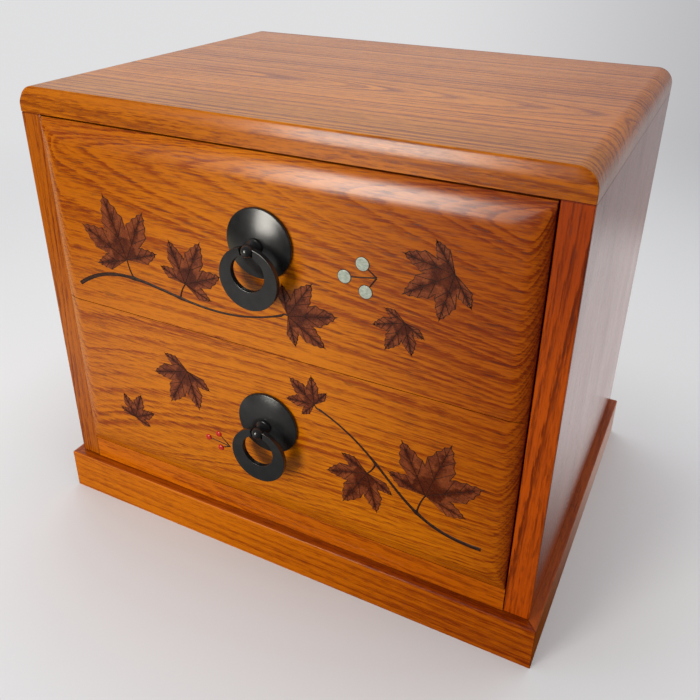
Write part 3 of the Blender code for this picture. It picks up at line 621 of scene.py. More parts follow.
def board_woods():
    """The wood of each kind of board, by the name of the board."""
    return {
        # Each Dusk paints shade towards one end of its board; the fronts have it at both sides
        "front": sawn_board(
            "front_zelkova", zelkova(MARIGOLD, COPPER), X, front_sheet, ring=0.75, drift=0.35, figure=0.9,
            # Only the right end's stain, which paints shade on the right rounding
            hair=1.1, fleck=1.8, ends=(0.0, 1.0),
            shade_dusks=(ShadeDusk(20, 160, 0.70, 0.16, climb=0.4), ShadeDusk(-20, -190, 0.38, climb=-0.6)), seed=2.0),
        "top": sawn_board(
            "top_zelkova", zelkova(HONEY, TAWNY, swell=1.5), X, round_log(X, (-20, 280.8), (0.0, -0.10)),
            ring=4.2, drift=0.5, figure=1.4, ends=(0.3, 0.0), shade_dusks=[ShadeDusk(60, 175, 0.32)],
            # The upright stain paints shade on the top's edges
            upright=TOP_EDGE_SHADE, second=(TOP_SEAM, round_log(X, (-160, 200))), seed=5.0),
        "left": sawn_board(
            "left_zelkova", zelkova(CHESTNUT, CLARET), Z, round_log(Z, (100, 300), (0.02, 0.03)),
            ring=3.0, figure=0.7, seed=8.0),
        "right": sawn_board(
            "right_zelkova", zelkova(RUSSET, CLARET, swell=4.0), Z,
            round_log(Z, (-100, 300), (0.02, -0.03)), ring=4.0, drift=1.6, fleck=1.8,
            shade_dusks=[ShadeDusk(170, 265, 0.55)], seed=11.0),
        "rail": sawn_board(
            "rail_zelkova", zelkova(AMBER, RUST), X, round_log(X, (80, -30), (0.03, 0.0)),
            ring=2.4, figure=0.7, shade_dusks=[ShadeDusk(-90, 160, 0.40, 0.15)], seed=14.0),
        "plinth": sawn_board(
            "plinth_zelkova", zelkova(GOLD, SIENNA), X, round_log(X, (200, -160), (0.02, 0.02)),
            # The upward stain paints shade on the plinth's ledge
            ring=3.4, figure=0.75, shade_dusks=[ShadeDusk(-90, 160, 0.60, 0.20)], upward=LEDGE_SHADE, seed=17.0),
        "plinth_side": sawn_board(
            "plinth_side_zelkova", zelkova(AMBER, RUST, gloss=0.40), Y,
            # The upward stain paints shade on the ledge of the plinth's sides
            round_log(Y, (-160, 200), (0.02, 0.02)), ring=3.4, figure=0.5, upward=LEDGE_SHADE, seed=20.0),
        "box": sawn_board(
            "box_paulownia", PAULOWNIA, Y, round_log(Y, (-40, 300)), ring=3.2, seed=23.0),
        "cross": sawn_board(
            "cross_paulownia", PAULOWNIA, X, round_log(X, (300, -40)), ring=3.2, seed=26.0),
    }


def black_iron():
    """Satin black baked on iron, a little uneven, with a soft bloom."""
    iron = Finish("black_iron_finish", Metallic=0.0, IOR=1.62)
    spot = iron.place()
    mottle = iron.noise(iron.scaled(spot, 160.0), 3.0)
    grit = iron.noise(iron.scaled(spot, 1500.0), 2.0)
    colour = iron.mix(mottle.ramp(0.3, 0.75), *IRON_TONES)
    roughness = 0.24 + (mottle - 0.5) * 0.06 + (grit - 0.5) * 0.05
    return iron.paint(colour, roughness, grit * 0.7 + mottle * 0.3, IRON_RELIEF)


def zinc_steel():
    """Dull zinc plate with a faint crystal bloom."""
    steel = Finish("zinc_steel_finish", Metallic=1.0)
    bloom = steel.noise(steel.scaled(steel.place(), 420.0), 3.0)
    colour = steel.mix(bloom.ramp(0.3, 0.7), *ZINC_TONES)
    return steel.paint(colour, 0.30 + bloom * 0.15, bloom, FINE_RELIEF)


def leaf_veneer():
    """Red-brown burr veneer, each tile singed dark towards its vein."""
    leaf = Finish("leaf_veneer_finish", Specular_IOR_Level=0.35)
    spot = leaf.place()
    edge = leaf.node("ShaderNodeAttribute", {"attribute_name": "edge"}, {}, "Fac")
    burr = leaf.noise(leaf.scaled(spot, 210.0), 3.0, 0.6)
    fleck = leaf.noise(leaf.scaled(spot, 900.0), 2.0, 0.6)
    colour = leaf.mix(burr.ramp(0.30, 0.70), *LEAF_TONES)
    colour = leaf.mix(fleck.ramp(0.52, 0.78) * 0.45, colour, LEAF_FLECK)
    colour = leaf.stain(1 - (edge + (burr - 0.5) * 0.9).ramp(0.0, 0.55), colour, SINGE_STAIN)
    return leaf.paint(colour, 0.20 + fleck * 0.14, burr * 0.6 + fleck * 0.4, FINE_RELIEF)


def stem_veneer():
    """Near-black wood of stems and of the ground that shows between leaf tiles."""
    stem = Finish("stem_veneer_finish", Specular_IOR_Level=0.25)
    x, _, z = (part * 1000 for part in stem.place().split())
    streak = stem.noise(stem.join(x * 0.35, z * 1.6, 0.0), 3.0)
    colour = stem.mix(streak.ramp(0.35, 0.7), *STEM_TONES)
    return stem.paint(colour, 0.38 + streak * 0.14, streak, FINE_RELIEF)


def shell_finish():
    """Polished shell: grey green with pearly clouds."""
    shell = Finish("shell_finish")
    x, _, z = (part * 1000 for part in shell.place().split())
    cloud = shell.noise(shell.join(x * 0.5, z * 0.9, 0.0), 3.0)
    growth = shell.noise(shell.join(x * 0.35, z * 3.2, 0.0), 2.0)
    colour = shell.mix(cloud.ramp(0.3, 0.7), *SHELL_TONES)
    colour = shell.mix(growth.ramp(0.5, 0.75) * 0.5, colour, SHELL_PEARL)
    return shell.paint(colour, 0.12 + cloud * 0.14, cloud, FINE_RELIEF)


def berry_finish():
    """Red lacquer, deeper in patches."""
    berry = Finish("berry_finish")
    x, _, z = (part * 1000 for part in berry.place().split())
    cloud = berry.noise(berry.join(x * 0.9, z * 0.9, 0.0), 2.0)
    colour = berry.mix(cloud.ramp(0.3, 0.7), *BERRY_TONES)
    return berry.paint(colour, 0.16 + cloud * 0.10, cloud, BERRY_RELIEF)


def bamboo():
    """Cut ends of bamboo pegs, with dark dots of fibre."""
    peg = Finish("bamboo_finish")
    spot = peg.place()
    dots = peg.noise(peg.scaled(spot, 2600.0), 2.0)
    tone = peg.noise(peg.scaled(spot, 90.0), 2.0)
    colour = peg.mix(tone.ramp(0.3, 0.7), *BAMBOO_TONES)
    colour = peg.mix(dots.ramp(0.5, 0.7) * 0.6, colour, BAMBOO_FIBRE)
    return peg.paint(colour, 0.50 + dots * 0.15, 1 - dots * 0.5, FINE_RELIEF)


# Mesh making

def as_mesh(bm):
    """Moves a bmesh into a new mesh."""
    mesh = bpy.data.meshes.new("scratch")
    bm.to_mesh(mesh)
    bm.free()
    return mesh


def put(name, data):
    """A new object in the scene."""
    made = bpy.data.objects.new(name, data)
    bpy.context.scene.collection.objects.link(made)
    return made


def box_bm(low, high, ease=0.0):
    """A box between two corners, with its edges eased."""
    bm = bmesh.new()
    low, high = Vector(low), Vector(high)
    grown = Matrix.Translation((low + high) / 2) @ Matrix.Diagonal((*(high - low), 1.0))
    bmesh.ops.create_cube(bm, size=1.0, matrix=grown)
    if ease:
        bmesh.ops.bevel(bm, geom=bm.edges[:], offset=ease, segments=EASE_SEGMENTS, profile=0.5,
                        affect="EDGES")
    return bm


def carve(made, boxes):
    """Cuts boxes, given by two corners, out of a piece."""
    tools = []
    for low, high in boxes:
        tool = put("cutter", as_mesh(box_bm(low, high)))
        cut = made.modifiers.new("cut", "BOOLEAN")
        cut.solver = "EXACT"
        cut.object = tool
        tools.append(tool)
    result = bpy.data.meshes.new_from_object(made.evaluated_get(bpy.context.evaluated_depsgraph_get()))
    made.modifiers.clear()
    result.materials.clear()
    made.data = result
    for tool in tools:
        bpy.data.objects.remove(tool)


def piece(name, bm, finishes, body, nodes=(), crease=CREASE, cuts=()):
    """Turns a bmesh into a smooth-shaded piece that rides on a body and stands for CAD nodes."""
    bmesh.ops.recalc_face_normals(bm, faces=bm.faces)
    made = put(name, as_mesh(bm))
    if cuts:
        carve(made, cuts)
    mesh = made.data
    mesh.name = name
    mesh.shade_smooth()
    mesh.set_sharp_from_angle(angle=math.radians(crease))
    for finish in finishes if isinstance(finishes, tuple) else (finishes,):
        mesh.materials.append(finish)
    shade = made.modifiers.new("flat_faces", "WEIGHTED_NORMAL")
    shade.keep_sharp = True
    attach(made, body)
    if nodes:
        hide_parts(*nodes)


def repaint(finish, *names):
    """Gives CAD nodes a new finish."""
    for name in names:
        slots = frame["nodes"][name].data.materials
        slots.clear()
        slots.append(finish)


def skin(bm, rows):
    """Faces between rows of corners, with a cap on the first and the last row."""
    faces = [bm.faces.new(rows[0]), bm.faces.new(rows[-1])]
    for near, far in zip(rows, rows[1:]):
        for i in range(len(near)):
            faces.append(bm.faces.new((near[i - 1], near[i], far[i], far[i - 1])))
    return faces


def arc(centre, radius, start, end, steps):
    """Points of an arc, both ends included. Angles are in degrees."""
    angles = [math.radians(start + (end - start) * i / steps) for i in range(steps + 1)]
    return [(centre[0] + radius * math.cos(a), centre[1] + radius * math.sin(a)) for a in angles]


def turned(profile, centre, segments=TURNED_SEGMENTS, closed=False):
    """Turns a profile of (radius, y) pairs about a Y axis through centre."""
    bm = bmesh.new()
    points = [bm.verts.new((radius, y, 0.0)) for radius, y in profile]
    pairs = list(zip(points, points[1:]))
    if closed:
        pairs.append((points[-1], points[0]))
    lines = [bm.edges.new(pair) for pair in pairs]
    bmesh.ops.spin(bm, geom=points + lines, cent=(0, 0, 0), axis=(0, 1, 0), angle=2 * math.pi,
                   steps=segments, use_merge=True)
    bmesh.ops.remove_doubles(bm, verts=bm.verts[:], dist=WELD)
    bmesh.ops.translate(bm, vec=centre, verts=bm.verts[:])
    return bm


# Carcass

def top_stations(low, high):
    """Cross-sections of the top from front to back: how far its upper face drops, how far its ends draw in,
    and where."""
    tilt_end = math.radians(TOP_CROWN_TILT)
    radius = TOP_CROWN_HEIGHT / math.sin(tilt_end)
    stations = [(TOP_CROWN_HEIGHT, CRISP_EASE, low.y)]
    for i in range(1, TOP_CROWN_STEPS):
        tilt = tilt_end * i / TOP_CROWN_STEPS
        back = radius * (1 - math.cos(tilt))
        drop = TOP_CROWN_HEIGHT - radius * math.sin(tilt)
        stations.append((drop, max(CRISP_EASE - back, 0.0), low.y + back))
    crown_y = low.y + radius * (1 - math.cos(tilt_end))
    for i in range(TOP_ARRIS_STEPS + 1):
        turn = math.pi / 2 * i / TOP_ARRIS_STEPS
        drop = TOP_ARRIS * (1 - math.sin(turn))
        stations.append((drop, 0.0, crown_y + TOP_ARRIS * (1 - math.cos(turn))))
    for share in TOP_REAR_EASE:
        eased = share * EDGE_EASE
        stations.append((eased, eased, high.y - EDGE_EASE + eased))
    return stations


def dress_top(wood):
    """Top board with its ends rounded into the sides and a crowned front edge, grooved for the sides and
    the back."""
    low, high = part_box("top_board")
    foot = low.z - TOP_SETTLE
    bm = bmesh.new()
    rows = []
    for drop, inset, y in top_stations(low, high):
        half = high.x - inset
        wide = TOP_CORNER_RADIUS - inset
        tall = max(TOP_CORNER_RADIUS - drop, TOP_ARRIS)
        row = [(-half, foot), (half, foot)]
        for sign, start in ROUNDED_CORNERS:
            for x, z in arc((0, 0), 1.0, start, start + 90, TOP_CORNER_STEPS):
                row.append((sign * (half - wide) + wide * x, high.z - drop - tall + tall * z))
        rows.append([bm.verts.new((x, y, z)) for x, z in row])
    skin(bm, rows)
    back_low, back_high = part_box("back_panel")
    cuts = [((back_low.x - SEAT, back_low.y - SEAT, low.z - BEYOND),
             (back_high.x + SEAT, high.y + BEYOND, back_high.z + SEAT))]
    for side in ("left", "right"):
        near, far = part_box(f"{side}_side_panel")
        middle, half = (near.x + far.x) / 2, TONGUE_THICKNESS / 2 + SEAT
        cuts.append(((middle - half, low.y + TONGUE_STOP - SEAT, low.z - BEYOND),
                     (middle + half, high.y - TONGUE_STOP + SEAT, low.z + TONGUE_LENGTH + SEAT)))
    piece("lacquered_top", bm, wood, "carcass", ["top_board"], cuts=cuts)


def dress_bottom(wood):
    """Bottom board with a crisp front edge, that shows as the rail under the lower drawer."""
    low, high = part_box("bottom_board")
    level = (low.z + high.z) / 2
    under, over = level - TONGUE_THICKNESS / 2, level + TONGUE_THICKNESS / 2
    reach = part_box("right_side_panel")[0].x - SEAT
    cuts = []
    for sign in (-1, 1):
        near, far = sorted((sign * reach, sign * (reach + BEYOND)))
        for bottom, top in ((low.z - BEYOND, under), (over, high.z + BEYOND)):
            cuts.append(((near, low.y - BEYOND, bottom), (far, high.y + BEYOND, top)))
        stops = ((low.y - BEYOND, low.y + TONGUE_STOP), (high.y - TONGUE_STOP, high.y + BEYOND))
        for front, back in stops:
            cuts.append(((near, front, low.z - BEYOND), (far, back, high.z + BEYOND)))
    piece("lacquered_bottom", box_bm(low, high, CRISP_EASE), wood, "carcass", ["bottom_board"],
          cuts=cuts)


def spaced(start, end, gap):
    """Even places from start to end, about a gap apart."""
    count = max(1, round((end - start) / gap))
    return [start + (end - start) * i / count for i in range(count + 1)]


def drive_pegs(name, body, finish, heads, heading):
    """Pegs driven through a board, their heads a little proud. heading is degrees round Z from the
    front."""
    turn = Matrix.Rotation(math.radians(heading), 4, "Z")
    profile = [(0.0, INLAY_SUNK), (PEG_RADIUS, INLAY_SUNK), (PEG_RADIUS, -PEG_SHOULDER * PEG_PROUD),
               (PEG_CROWN * PEG_RADIUS, -PEG_PROUD), (0.0, -PEG_PROUD)]
    bm = bmesh.new()
    for head in heads:
        peg = turned(profile, (0, 0, 0), PEG_SEGMENTS)
        bmesh.ops.transform(peg, matrix=Matrix.Translation(head) @ turn, verts=peg.verts[:])
        bm.from_mesh(as_mesh(peg))
    piece(name, bm, finish, body, crease=INLAY_CREASE)


def peg_back(finish):
    """Pegs that hold the back panel to the top, the sides and the shelf."""
    low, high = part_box("back_panel")
    shelf_low, shelf_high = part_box("middle_shelf")
    shelf = (shelf_low.z + shelf_high.z) / 2
    edges = (low.x + BACK_PEG_INSET, high.x - BACK_PEG_INSET)
    inner = (edges[0] + BACK_PEG_SPACING, edges[1] - BACK_PEG_SPACING)
    top = high.z - BACK_PEG_INSET
    heights = spaced(low.z + BACK_PEG_SPACING / 2, top - BACK_PEG_SPACING, BACK_PEG_SPACING)
    heads = [(x, high.y, top) for x in spaced(*edges, BACK_PEG_SPACING)]
    heads += [(x, high.y, shelf) for x in spaced(*inner, BACK_PEG_SPACING)]
    heads += [(x, high.y, z) for x in edges for z in heights]
    drive_pegs("back_pegs", "carcass", finish, heads, 180)


def peg_sides(drawer, finish):
    """Pegs that hold the box sides to the front."""
    for side, heading in (("left", -90), ("right", 90)):
        low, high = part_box(f"{drawer}_drawer_{side}_side")
        face = low.x if side == "left" else high.x
        setback = low.y + LAP_PEG_SETBACK
        heads = [(face, setback, low.z + (high.z - low.z) * share) for share in LAP_PEG_HEIGHTS]
        drive_pegs(f"{drawer}_{side}_lap_pegs", f"{drawer}_drawer", finish, heads, heading)


# Drawers

def pillow_loops(low, high):
    """Inset and place on Y of each outline of a front, from its back to its raised field."""
    sweep = 2 * math.atan2(PILLOW_RISE, PILLOW_WIDTH)
    radius = PILLOW_WIDTH / math.sin(sweep)
    loops = [(0.0, high.y), (0.0, low.y + PILLOW_RISE)]
    for i in range(1, PILLOW_STEPS + 1):
        tilt = sweep * (1 - i / PILLOW_STEPS)
        loops.append((PILLOW_WIDTH - radius * math.sin(tilt), low.y + radius * (1 - math.cos(tilt))))
    return loops


def dress_front(drawer, wood):
    """Drawer front whose outer edges round over to a raised field, square at the split between the
    drawers."""
    low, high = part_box(f"{drawer}_drawer_front")
    side_radius = (PILLOW_WIDTH ** 2 + PILLOW_SIDE_RISE ** 2) / (2 * PILLOW_SIDE_RISE)
    rounded = 1 if drawer == "upper" else -1
    edge_z = high.z - FRONT_TOP_SLACK if drawer == "upper" else low.z
    split_z = low.z if drawer == "upper" else high.z
    bm = bmesh.new()
    rows = []
    for inset, y in pillow_loops(low, high):
        depth = y - low.y
        half = high.x + FRONT_SIDE_FILL
        if depth < PILLOW_SIDE_RISE:
            half += side_radius * math.sin(math.acos(1 - depth / side_radius)) - PILLOW_WIDTH
        rise = inset * PILLOW_LONG_WIDTH / PILLOW_WIDTH
        corner = PILLOW_CORNER_RADIUS + inset * PILLOW_CORNER_SHARE
        row = [(-half, split_z), (half, split_z)]
        for sign, start in ROUNDED_CORNERS:
            for x, z in arc((sign * (half - corner), 0.0), corner, start, start + 90, PILLOW_CORNER_STEPS):
                row.append((x, edge_z - rounded * (rise + corner - z)))
        rows.append([bm.verts.new((x, y, z)) for x, z in row])
    skin(bm, rows)
    floor_low, floor_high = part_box(f"{drawer}_drawer_bottom")
    cuts = [((floor_low.x, floor_low.y - SEAT, floor_low.z - SEAT),
             (floor_high.x, high.y + BEYOND, floor_high.z + SEAT))]
    for side, sign in (("left", -1), ("right", 1)):
        near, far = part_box(f"{drawer}_drawer_{side}_side")
        inner = min(near.x, far.x, key=abs) - sign * SEAT
        start, end = sorted((inner, sign * (high.x + BEYOND)))
        cuts.append(((start, near.y - SEAT, low.z - BEYOND), (end, high.y + BEYOND, high.z + BEYOND)))
    piece(f"{drawer}_lacquered_front", bm, wood, f"{drawer}_drawer", [f"{drawer}_drawer_front"],
          FRONT_CREASE, cuts)


def ball_of(drawer):
    """Middle of the ball that the ring swings on."""
    joints = {joint["name"]: joint for joint in frame["record"]["behaviour"]["joints"]}
    return Vector(joints[f"{drawer}_ring_swing"]["pos_m"])


def dress_pull(drawer, iron):
    """Domed plate, ball post and crescent ring of one pull."""
    ball, body = ball_of(drawer), f"{drawer}_drawer"
    base = BALL_STANDOFF - SEAT
    hole = SHANK_RADIUS + SEAT
    edge = base - PLATE_RIM
    start = PLATE_RADIUS - PLATE_EDGE_RADIUS
    rim_middle = (start, edge + PLATE_EDGE_RADIUS)
    profile = [(hole, base), (PLATE_RADIUS, base)]
    profile += arc(rim_middle, PLATE_EDGE_RADIUS, 0, -PLATE_EDGE_SWEEP, PLATE_EDGE_STEPS)
    for i in range(1, PLATE_STEPS + 1):
        radius = start + (hole - start) * i / PLATE_STEPS
        profile.append((radius, edge - (PLATE_DOME - PLATE_RIM) * (1 - (radius / start) ** 2)))
    plate = turned(profile, ball, closed=True)
    piece(f"{drawer}_domed_plate", plate, iron, body, [f"{drawer}_pull_plate"])
    seat = base - PLATE_DOME - SEAT
    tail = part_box(f"{drawer}_pull_post")[1].y - ball.y
    neck = math.degrees(math.asin(NECK_RADIUS / BALL_RADIUS))
    collar_middle = (COLLAR_RADIUS - COLLAR_EASE, seat - COLLAR_THICKNESS + COLLAR_EASE)
    profile = [(max(radius, 0.0), y) for y, radius in arc((0.0, 0.0), BALL_RADIUS, 180, neck, BALL_STEPS)]
    profile += arc(collar_middle, COLLAR_EASE, -90, 0, COLLAR_STEPS)
    profile += [(COLLAR_RADIUS, seat), (SHANK_RADIUS, seat), (SHANK_RADIUS, tail), (0.0, tail)]
    post = turned(profile, ball)
    piece(f"{drawer}_ball_post", post, iron, body, [f"{drawer}_pull_post"], ROUND_CREASE)
    dress_ring(drawer, ball, iron)


def ring_profile(angle):
    """Outer and inner radius points of the crescent at one angle, about the ball."""
    outer_drop = RING_RADIUS - RING_TOP_WIDTH / 2
    hole_drop = RING_HOLE_RADIUS + RING_TOP_WIDTH / 2
    way = Vector((math.sin(angle), 0.0, math.cos(angle)))
    outer = way * RING_RADIUS - Vector((0, 0, outer_drop))
    inner = way * RING_HOLE_RADIUS - Vector((0, 0, hole_drop))
    return outer, inner


def dress_ring(drawer, ball, iron):
    """Crescent ring, open at the top where its two pinned ends hold the ball."""
    clear = BALL_RADIUS + SEAT
    first = math.asin(clear / RING_RADIUS)
    inner_first = math.asin(clear / RING_HOLE_RADIUS)
    inner_ends = {0: inner_first, RING_STEPS: 2 * math.pi - inner_first}
    half = RING_THICKNESS / 2
    waist = RING_EASE_WAIST * RING_EASE
    ease = [(0.0, RING_EASE), (waist, waist), (RING_EASE, 0.0)]
    bm = bmesh.new()
    rows = []
    for i in range(RING_STEPS + 1):
        angle = first + (2 * math.pi - 2 * first) * i / RING_STEPS
        outer, inner = ring_profile(angle)
        if i in inner_ends:
            inner = ring_profile(inner_ends[i])[1]
        across = outer - inner
        width = across.length
        across.normalize()
        section = [(t, -half + d) for t, d in ease]
        section += [(width - t, -half + d) for t, d in reversed(ease)]
        section += [(width - t, half - d) for t, d in ease]
        section += [(t, half - d) for t, d in reversed(ease)]
        rows.append([bm.verts.new(ball + inner + across * t + Vector((0, y, 0))) for t, y in section])
    skin(bm, rows)
    length = PIN_DEPTH + SEAT + PIN_ROOT
    for sign in (-1, 1):
        pin = bmesh.ops.create_cone(bm, cap_ends=True, segments=PIN_SEGMENTS, radius1=PIN_RADIUS,
                                    radius2=PIN_RADIUS, depth=length)
        middle = sign * (BALL_RADIUS - PIN_DEPTH + length / 2)
        turn = Matrix.Translation(ball + Vector((middle, 0, 0))) @ Matrix.Rotation(math.pi / 2, 4, "Y")
        bmesh.ops.transform(bm, matrix=turn, verts=pin["verts"])
    piece(f"{drawer}_crescent_ring", bm, iron, f"{drawer}_ring", [f"{drawer}_pull_ring"])


# Marquetry

def polar(length, degrees):
    return Vector((length * math.cos(math.radians(degrees)), length * math.sin(math.radians(degrees))))


def bezier(controls, steps):
    """Points of a curve through its first and last control."""
    root, lift, lean, tip = (Vector(c) for c in controls)
    shares = [i / steps for i in range(steps + 1)]
    return [root * (1 - t) ** 3 + 3 * lift * t * (1 - t) ** 2 + 3 * lean * t ** 2 * (1 - t) + tip * t ** 3
            for t in shares]


def shrink(outline, amount):
    """Moves a closed outline inwards by an even amount, or outwards where it is negative."""
    count = len(outline)
    area = sum(a.x * b.y - b.x * a.y for a, b in zip(outline, outline[1:] + outline[:1]))
    way = 1 if area > 0 else -1
    moved = []
    for i, point in enumerate(outline):
        before = (point - outline[i - 1]).normalized()
        after = (outline[(i + 1) % count] - point).normalized()
        normals = [Vector((-d.y, d.x)) * way for d in (before, after)]
        middle = (normals[0] + normals[1]).normalized()
        moved.append(point + middle * (amount / max(middle.dot(normals[0]), MITRE_LIMIT)))
    return moved


class Field:
    """The raised field of one drawer front. Flat places are metres from its side edge and from the
    split."""

    def __init__(self, drawer, side):
        low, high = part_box(f"{drawer}_drawer_front")
        self.drawer = drawer
        self.body = f"{drawer}_drawer"
        self.face = low.y
        self.half = high.x - PILLOW_WIDTH
        self.side = side
        self.split, self.away = (low.z, 1) if drawer == "upper" else (high.z, -1)

    def point(self, flat, proud):
        x = self.side * (self.half - flat.x)
        return Vector((x, self.face - proud, self.split + self.away * flat.y))

    def tile(self, bm, outline, proud, ease, finish=0, edges=None):
        """Adds a flat tile with softened upper edges. edges says how near each corner is to the leaf's
        edge."""
        shade = bm.verts.layers.float["edge"]
        levels = ((outline, -INLAY_SUNK), (outline, proud - ease), (shrink(outline, ease), proud))
        rows = []
        for line, level in levels:
            rows.append([bm.verts.new(self.point(p, level)) for p in line])
        for row in rows:
            for vert, edge in zip(row, edges or [1.0] * len(row)):
                vert[shade] = edge
        for face in skin(bm, rows):
            face.material_index = finish

    def rod(self, bm, line, widths):
        """Adds a half-round strip along a line of flat points."""
        rows = []
        for i, (point, width) in enumerate(zip(line, widths)):
            along = (line[min(i + 1, len(line) - 1)] - line[max(i - 1, 0)]).normalized()
            across = Vector((-along.y, along.x)) * width
            proud = STEM_PROUD * min(1.0, width / STALK_WIDTH)
            row = [(point + across * ROD_SECTION[0][0], -INLAY_SUNK)]
            row += [(point + across * s, proud * h) for s, h in ROD_SECTION]
            row.append((point + across * ROD_SECTION[-1][0], -INLAY_SUNK))
            rows.append([bm.verts.new(self.point(p, level)) for p, level in row])
        skin(bm, rows)

    def stalk(self, bm, root, foot, width_shares, steps, bow=Vector((0.0, 0.0))):
        """Adds a thin stalk, bowed to one side, that narrows from root to foot."""
        thick, thin = width_shares
        shares = [k / steps for k in range(steps + 1)]
        line = [root.lerp(foot, t) + bow * (4 * t * (1 - t)) for t in shares]
        self.rod(bm, line, [STALK_WIDTH * (thick + (thin - thick) * t) for t in shares])


def lobe_edge(span, i, sign):
    """Belly, notches, teeth and tip of one side of a lobe, from its belly to its tip."""
    angle, share = LEAF_LOBES[i]
    length = share * span
    out = polar(1.0, angle + 90 * sign)
    belly = polar(length * LOBE_BELLY, angle) + out * (LOBE_HALF_WIDTH * length)
    tip = polar(length, angle)
    teeth = [belly.lerp(tip, place) + out * (TOOTH_REACH * length) for place in TOOTH_PLACES]
    stops = [belly, *teeth, tip]
    line = [belly]
    for near, far in zip(stops, stops[1:]):
        line += [near.lerp(far, NOTCH_PLACE) - out * (NOTCH_DEPTH * length), far]
    return line


def leaf_parts(span):
    """Tiles of one leaf about its foot, as corners with their nearness to the leaf's edge, and its
    outline."""
    last = len(LEAF_LOBES) - 1
    foot = Vector((0.0, 0.0))
    ribs = [[polar(share * span * root, angle) for root in VEIN_ROOTS] for angle, share in LEAF_LOBES]
    valleys = []
    for (angle, share), (next_angle, next_share) in zip(LEAF_LOBES, LEAF_LOBES[1:]):
        valleys.append(polar(LEAF_VALLEY * span * min(share, next_share), (angle + next_angle) / 2))
    tiles, outline = [], [foot]
    for i in range(last + 1):
        low, high = lobe_edge(span, i, -1), lobe_edge(span, i, 1)
        outline += low + high[-2::-1] + valleys[i:i + 1]
        for line in (low, high):
            roots = ribs[i]
            for k in range(len(roots) - 1):
                tiles.append([(roots[k], 0.0), (roots[k + 1], 0.0), (line[2 * k + 2], 1.0),
                              (line[2 * k + 1], 1.0), (line[2 * k], 1.0)])
            tiles.append([(roots[-1], 0.0), (line[-1], TIP_EDGE), (line[-2], 1.0), (line[-3], 1.0)])
    for i in range(last):
        tiles.append([(foot, 0.0), (ribs[i][0], 0.0), (lobe_edge(span, i, 1)[0], 1.0), (valleys[i], 1.0),
                      (lobe_edge(span, i + 1, -1)[0], 1.0), (ribs[i + 1][0], 0.0)])
    for i, sign in ((0, -1), (last, 1)):
        tiles.append([(foot, 0.0), (ribs[i][0], 0.0), (lobe_edge(span, i, sign)[0], 1.0)])
    return tiles, outline


def dress_leaf(field, number, foot, turn, span, leaf, stem):
    """One leaf: tiles with dark veins between them, on a dark ground that rims them."""
    turned_by = Matrix.Rotation(math.radians(turn), 2)
    bm = bmesh.new()
    bm.verts.layers.float.new("edge")
    tiles, outline = leaf_parts(span)
    ground = shrink([foot + turned_by @ p for p in outline], -GROUND_RIM)
    field.tile(bm, ground, GROUND_PROUD, GROUND_EASE, finish=1)
    for tile in tiles:
        corners = shrink([foot + turned_by @ p for p, _ in tile], VEIN_WIDTH / 2)
        field.tile(bm, corners, TILE_PROUD, TILE_EASE, edges=[edge for _, edge in tile])
    piece(f"{field.drawer}_leaf_{number}", bm, (leaf, stem), field.body,
          [f"{field.drawer}_leaf_inlay_{number}"], INLAY_CREASE)


def dress_spray(field, controls, leaves, loose, leaf, stem):
    """A stem with knots, its stalks and leaves, and the leaves that lie loose."""
    steps = STEM_STEPS * STEM_FINENESS
    line = bezier([Vector(c) * MM for c in controls], steps)
    knots = [step * STEM_FINENESS for step, *_ in leaves]
    widths = []
    for i in range(steps + 1):
        swell = sum(math.exp(-((i - knot) / KNOT_SPREAD) ** 2) for knot in knots)
        taper = STEM_ROOT_WIDTH + (STEM_TIP_WIDTH - STEM_ROOT_WIDTH) * i / steps
        widths.append(taper * (1 + KNOT_SWELL * swell))
    bm = bmesh.new()
    field.rod(bm, line, widths)
    for number, (step, reach, turn, span) in enumerate(leaves, 1):
        root = line[step * STEM_FINENESS]
        foot = root + polar(reach * MM, turn)
        field.stalk(bm, root, foot, LEAF_STALK_SHARES, LEAF_STALK_STEPS, polar(STALK_BOW, turn + 90))
        dress_leaf(field, number, foot, turn, span, leaf, stem)
    piece(f"{field.drawer}_stem", bm, stem, field.body, [f"{field.drawer}_stem_inlay"],
          ROUND_CREASE)
    for number, (foot, turn, span) in enumerate(loose, len(leaves) + 1):
        dress_leaf(field, number, Vector(foot) * MM, turn, span, leaf, stem)


def dress_cluster(field, kind, centres, joint, radius, dome, rim, finish, stem):
    """Three polished discs on thin stalks that meet at a joint, each on a dark seat where it has a rim."""
    bm = bmesh.new()
    for number, centre in enumerate((Vector(c) * MM for c in centres), 1):
        field.stalk(bm, Vector(joint) * MM, centre, DISC_STALK_SHARES, DISC_STALK_STEPS)
        middle = field.point(centre, 0.0)
        if rim:
            seat = [(0.0, INLAY_SUNK), (radius + rim, INLAY_SUNK), (radius + rim, -DISC_SEAT_PROUD),
                    (0.0, -DISC_SEAT_PROUD)]
            bm.from_mesh(as_mesh(turned(seat, middle, DISC_SEGMENTS)))
        profile = [(0.0, INLAY_SUNK), (radius, INLAY_SUNK)]
        for k in range(DISC_STEPS):
            turn = math.pi / 2 * k / DISC_STEPS
            profile.append((radius * math.cos(turn) ** DISC_SHOULDER, -TILE_PROUD - dome * math.sin(turn)))
        profile.append((0.0, -TILE_PROUD - dome))
        disc = turned(profile, middle, DISC_SEGMENTS)
        piece(f"{field.drawer}_{kind}_{number}", disc, finish, field.body,
              [f"{field.drawer}_{kind}_inlay_{number}"], ROUND_CREASE)
    piece(f"{field.drawer}_{kind}_stalks", bm, stem, field.body, crease=ROUND_CREASE)


# Studio

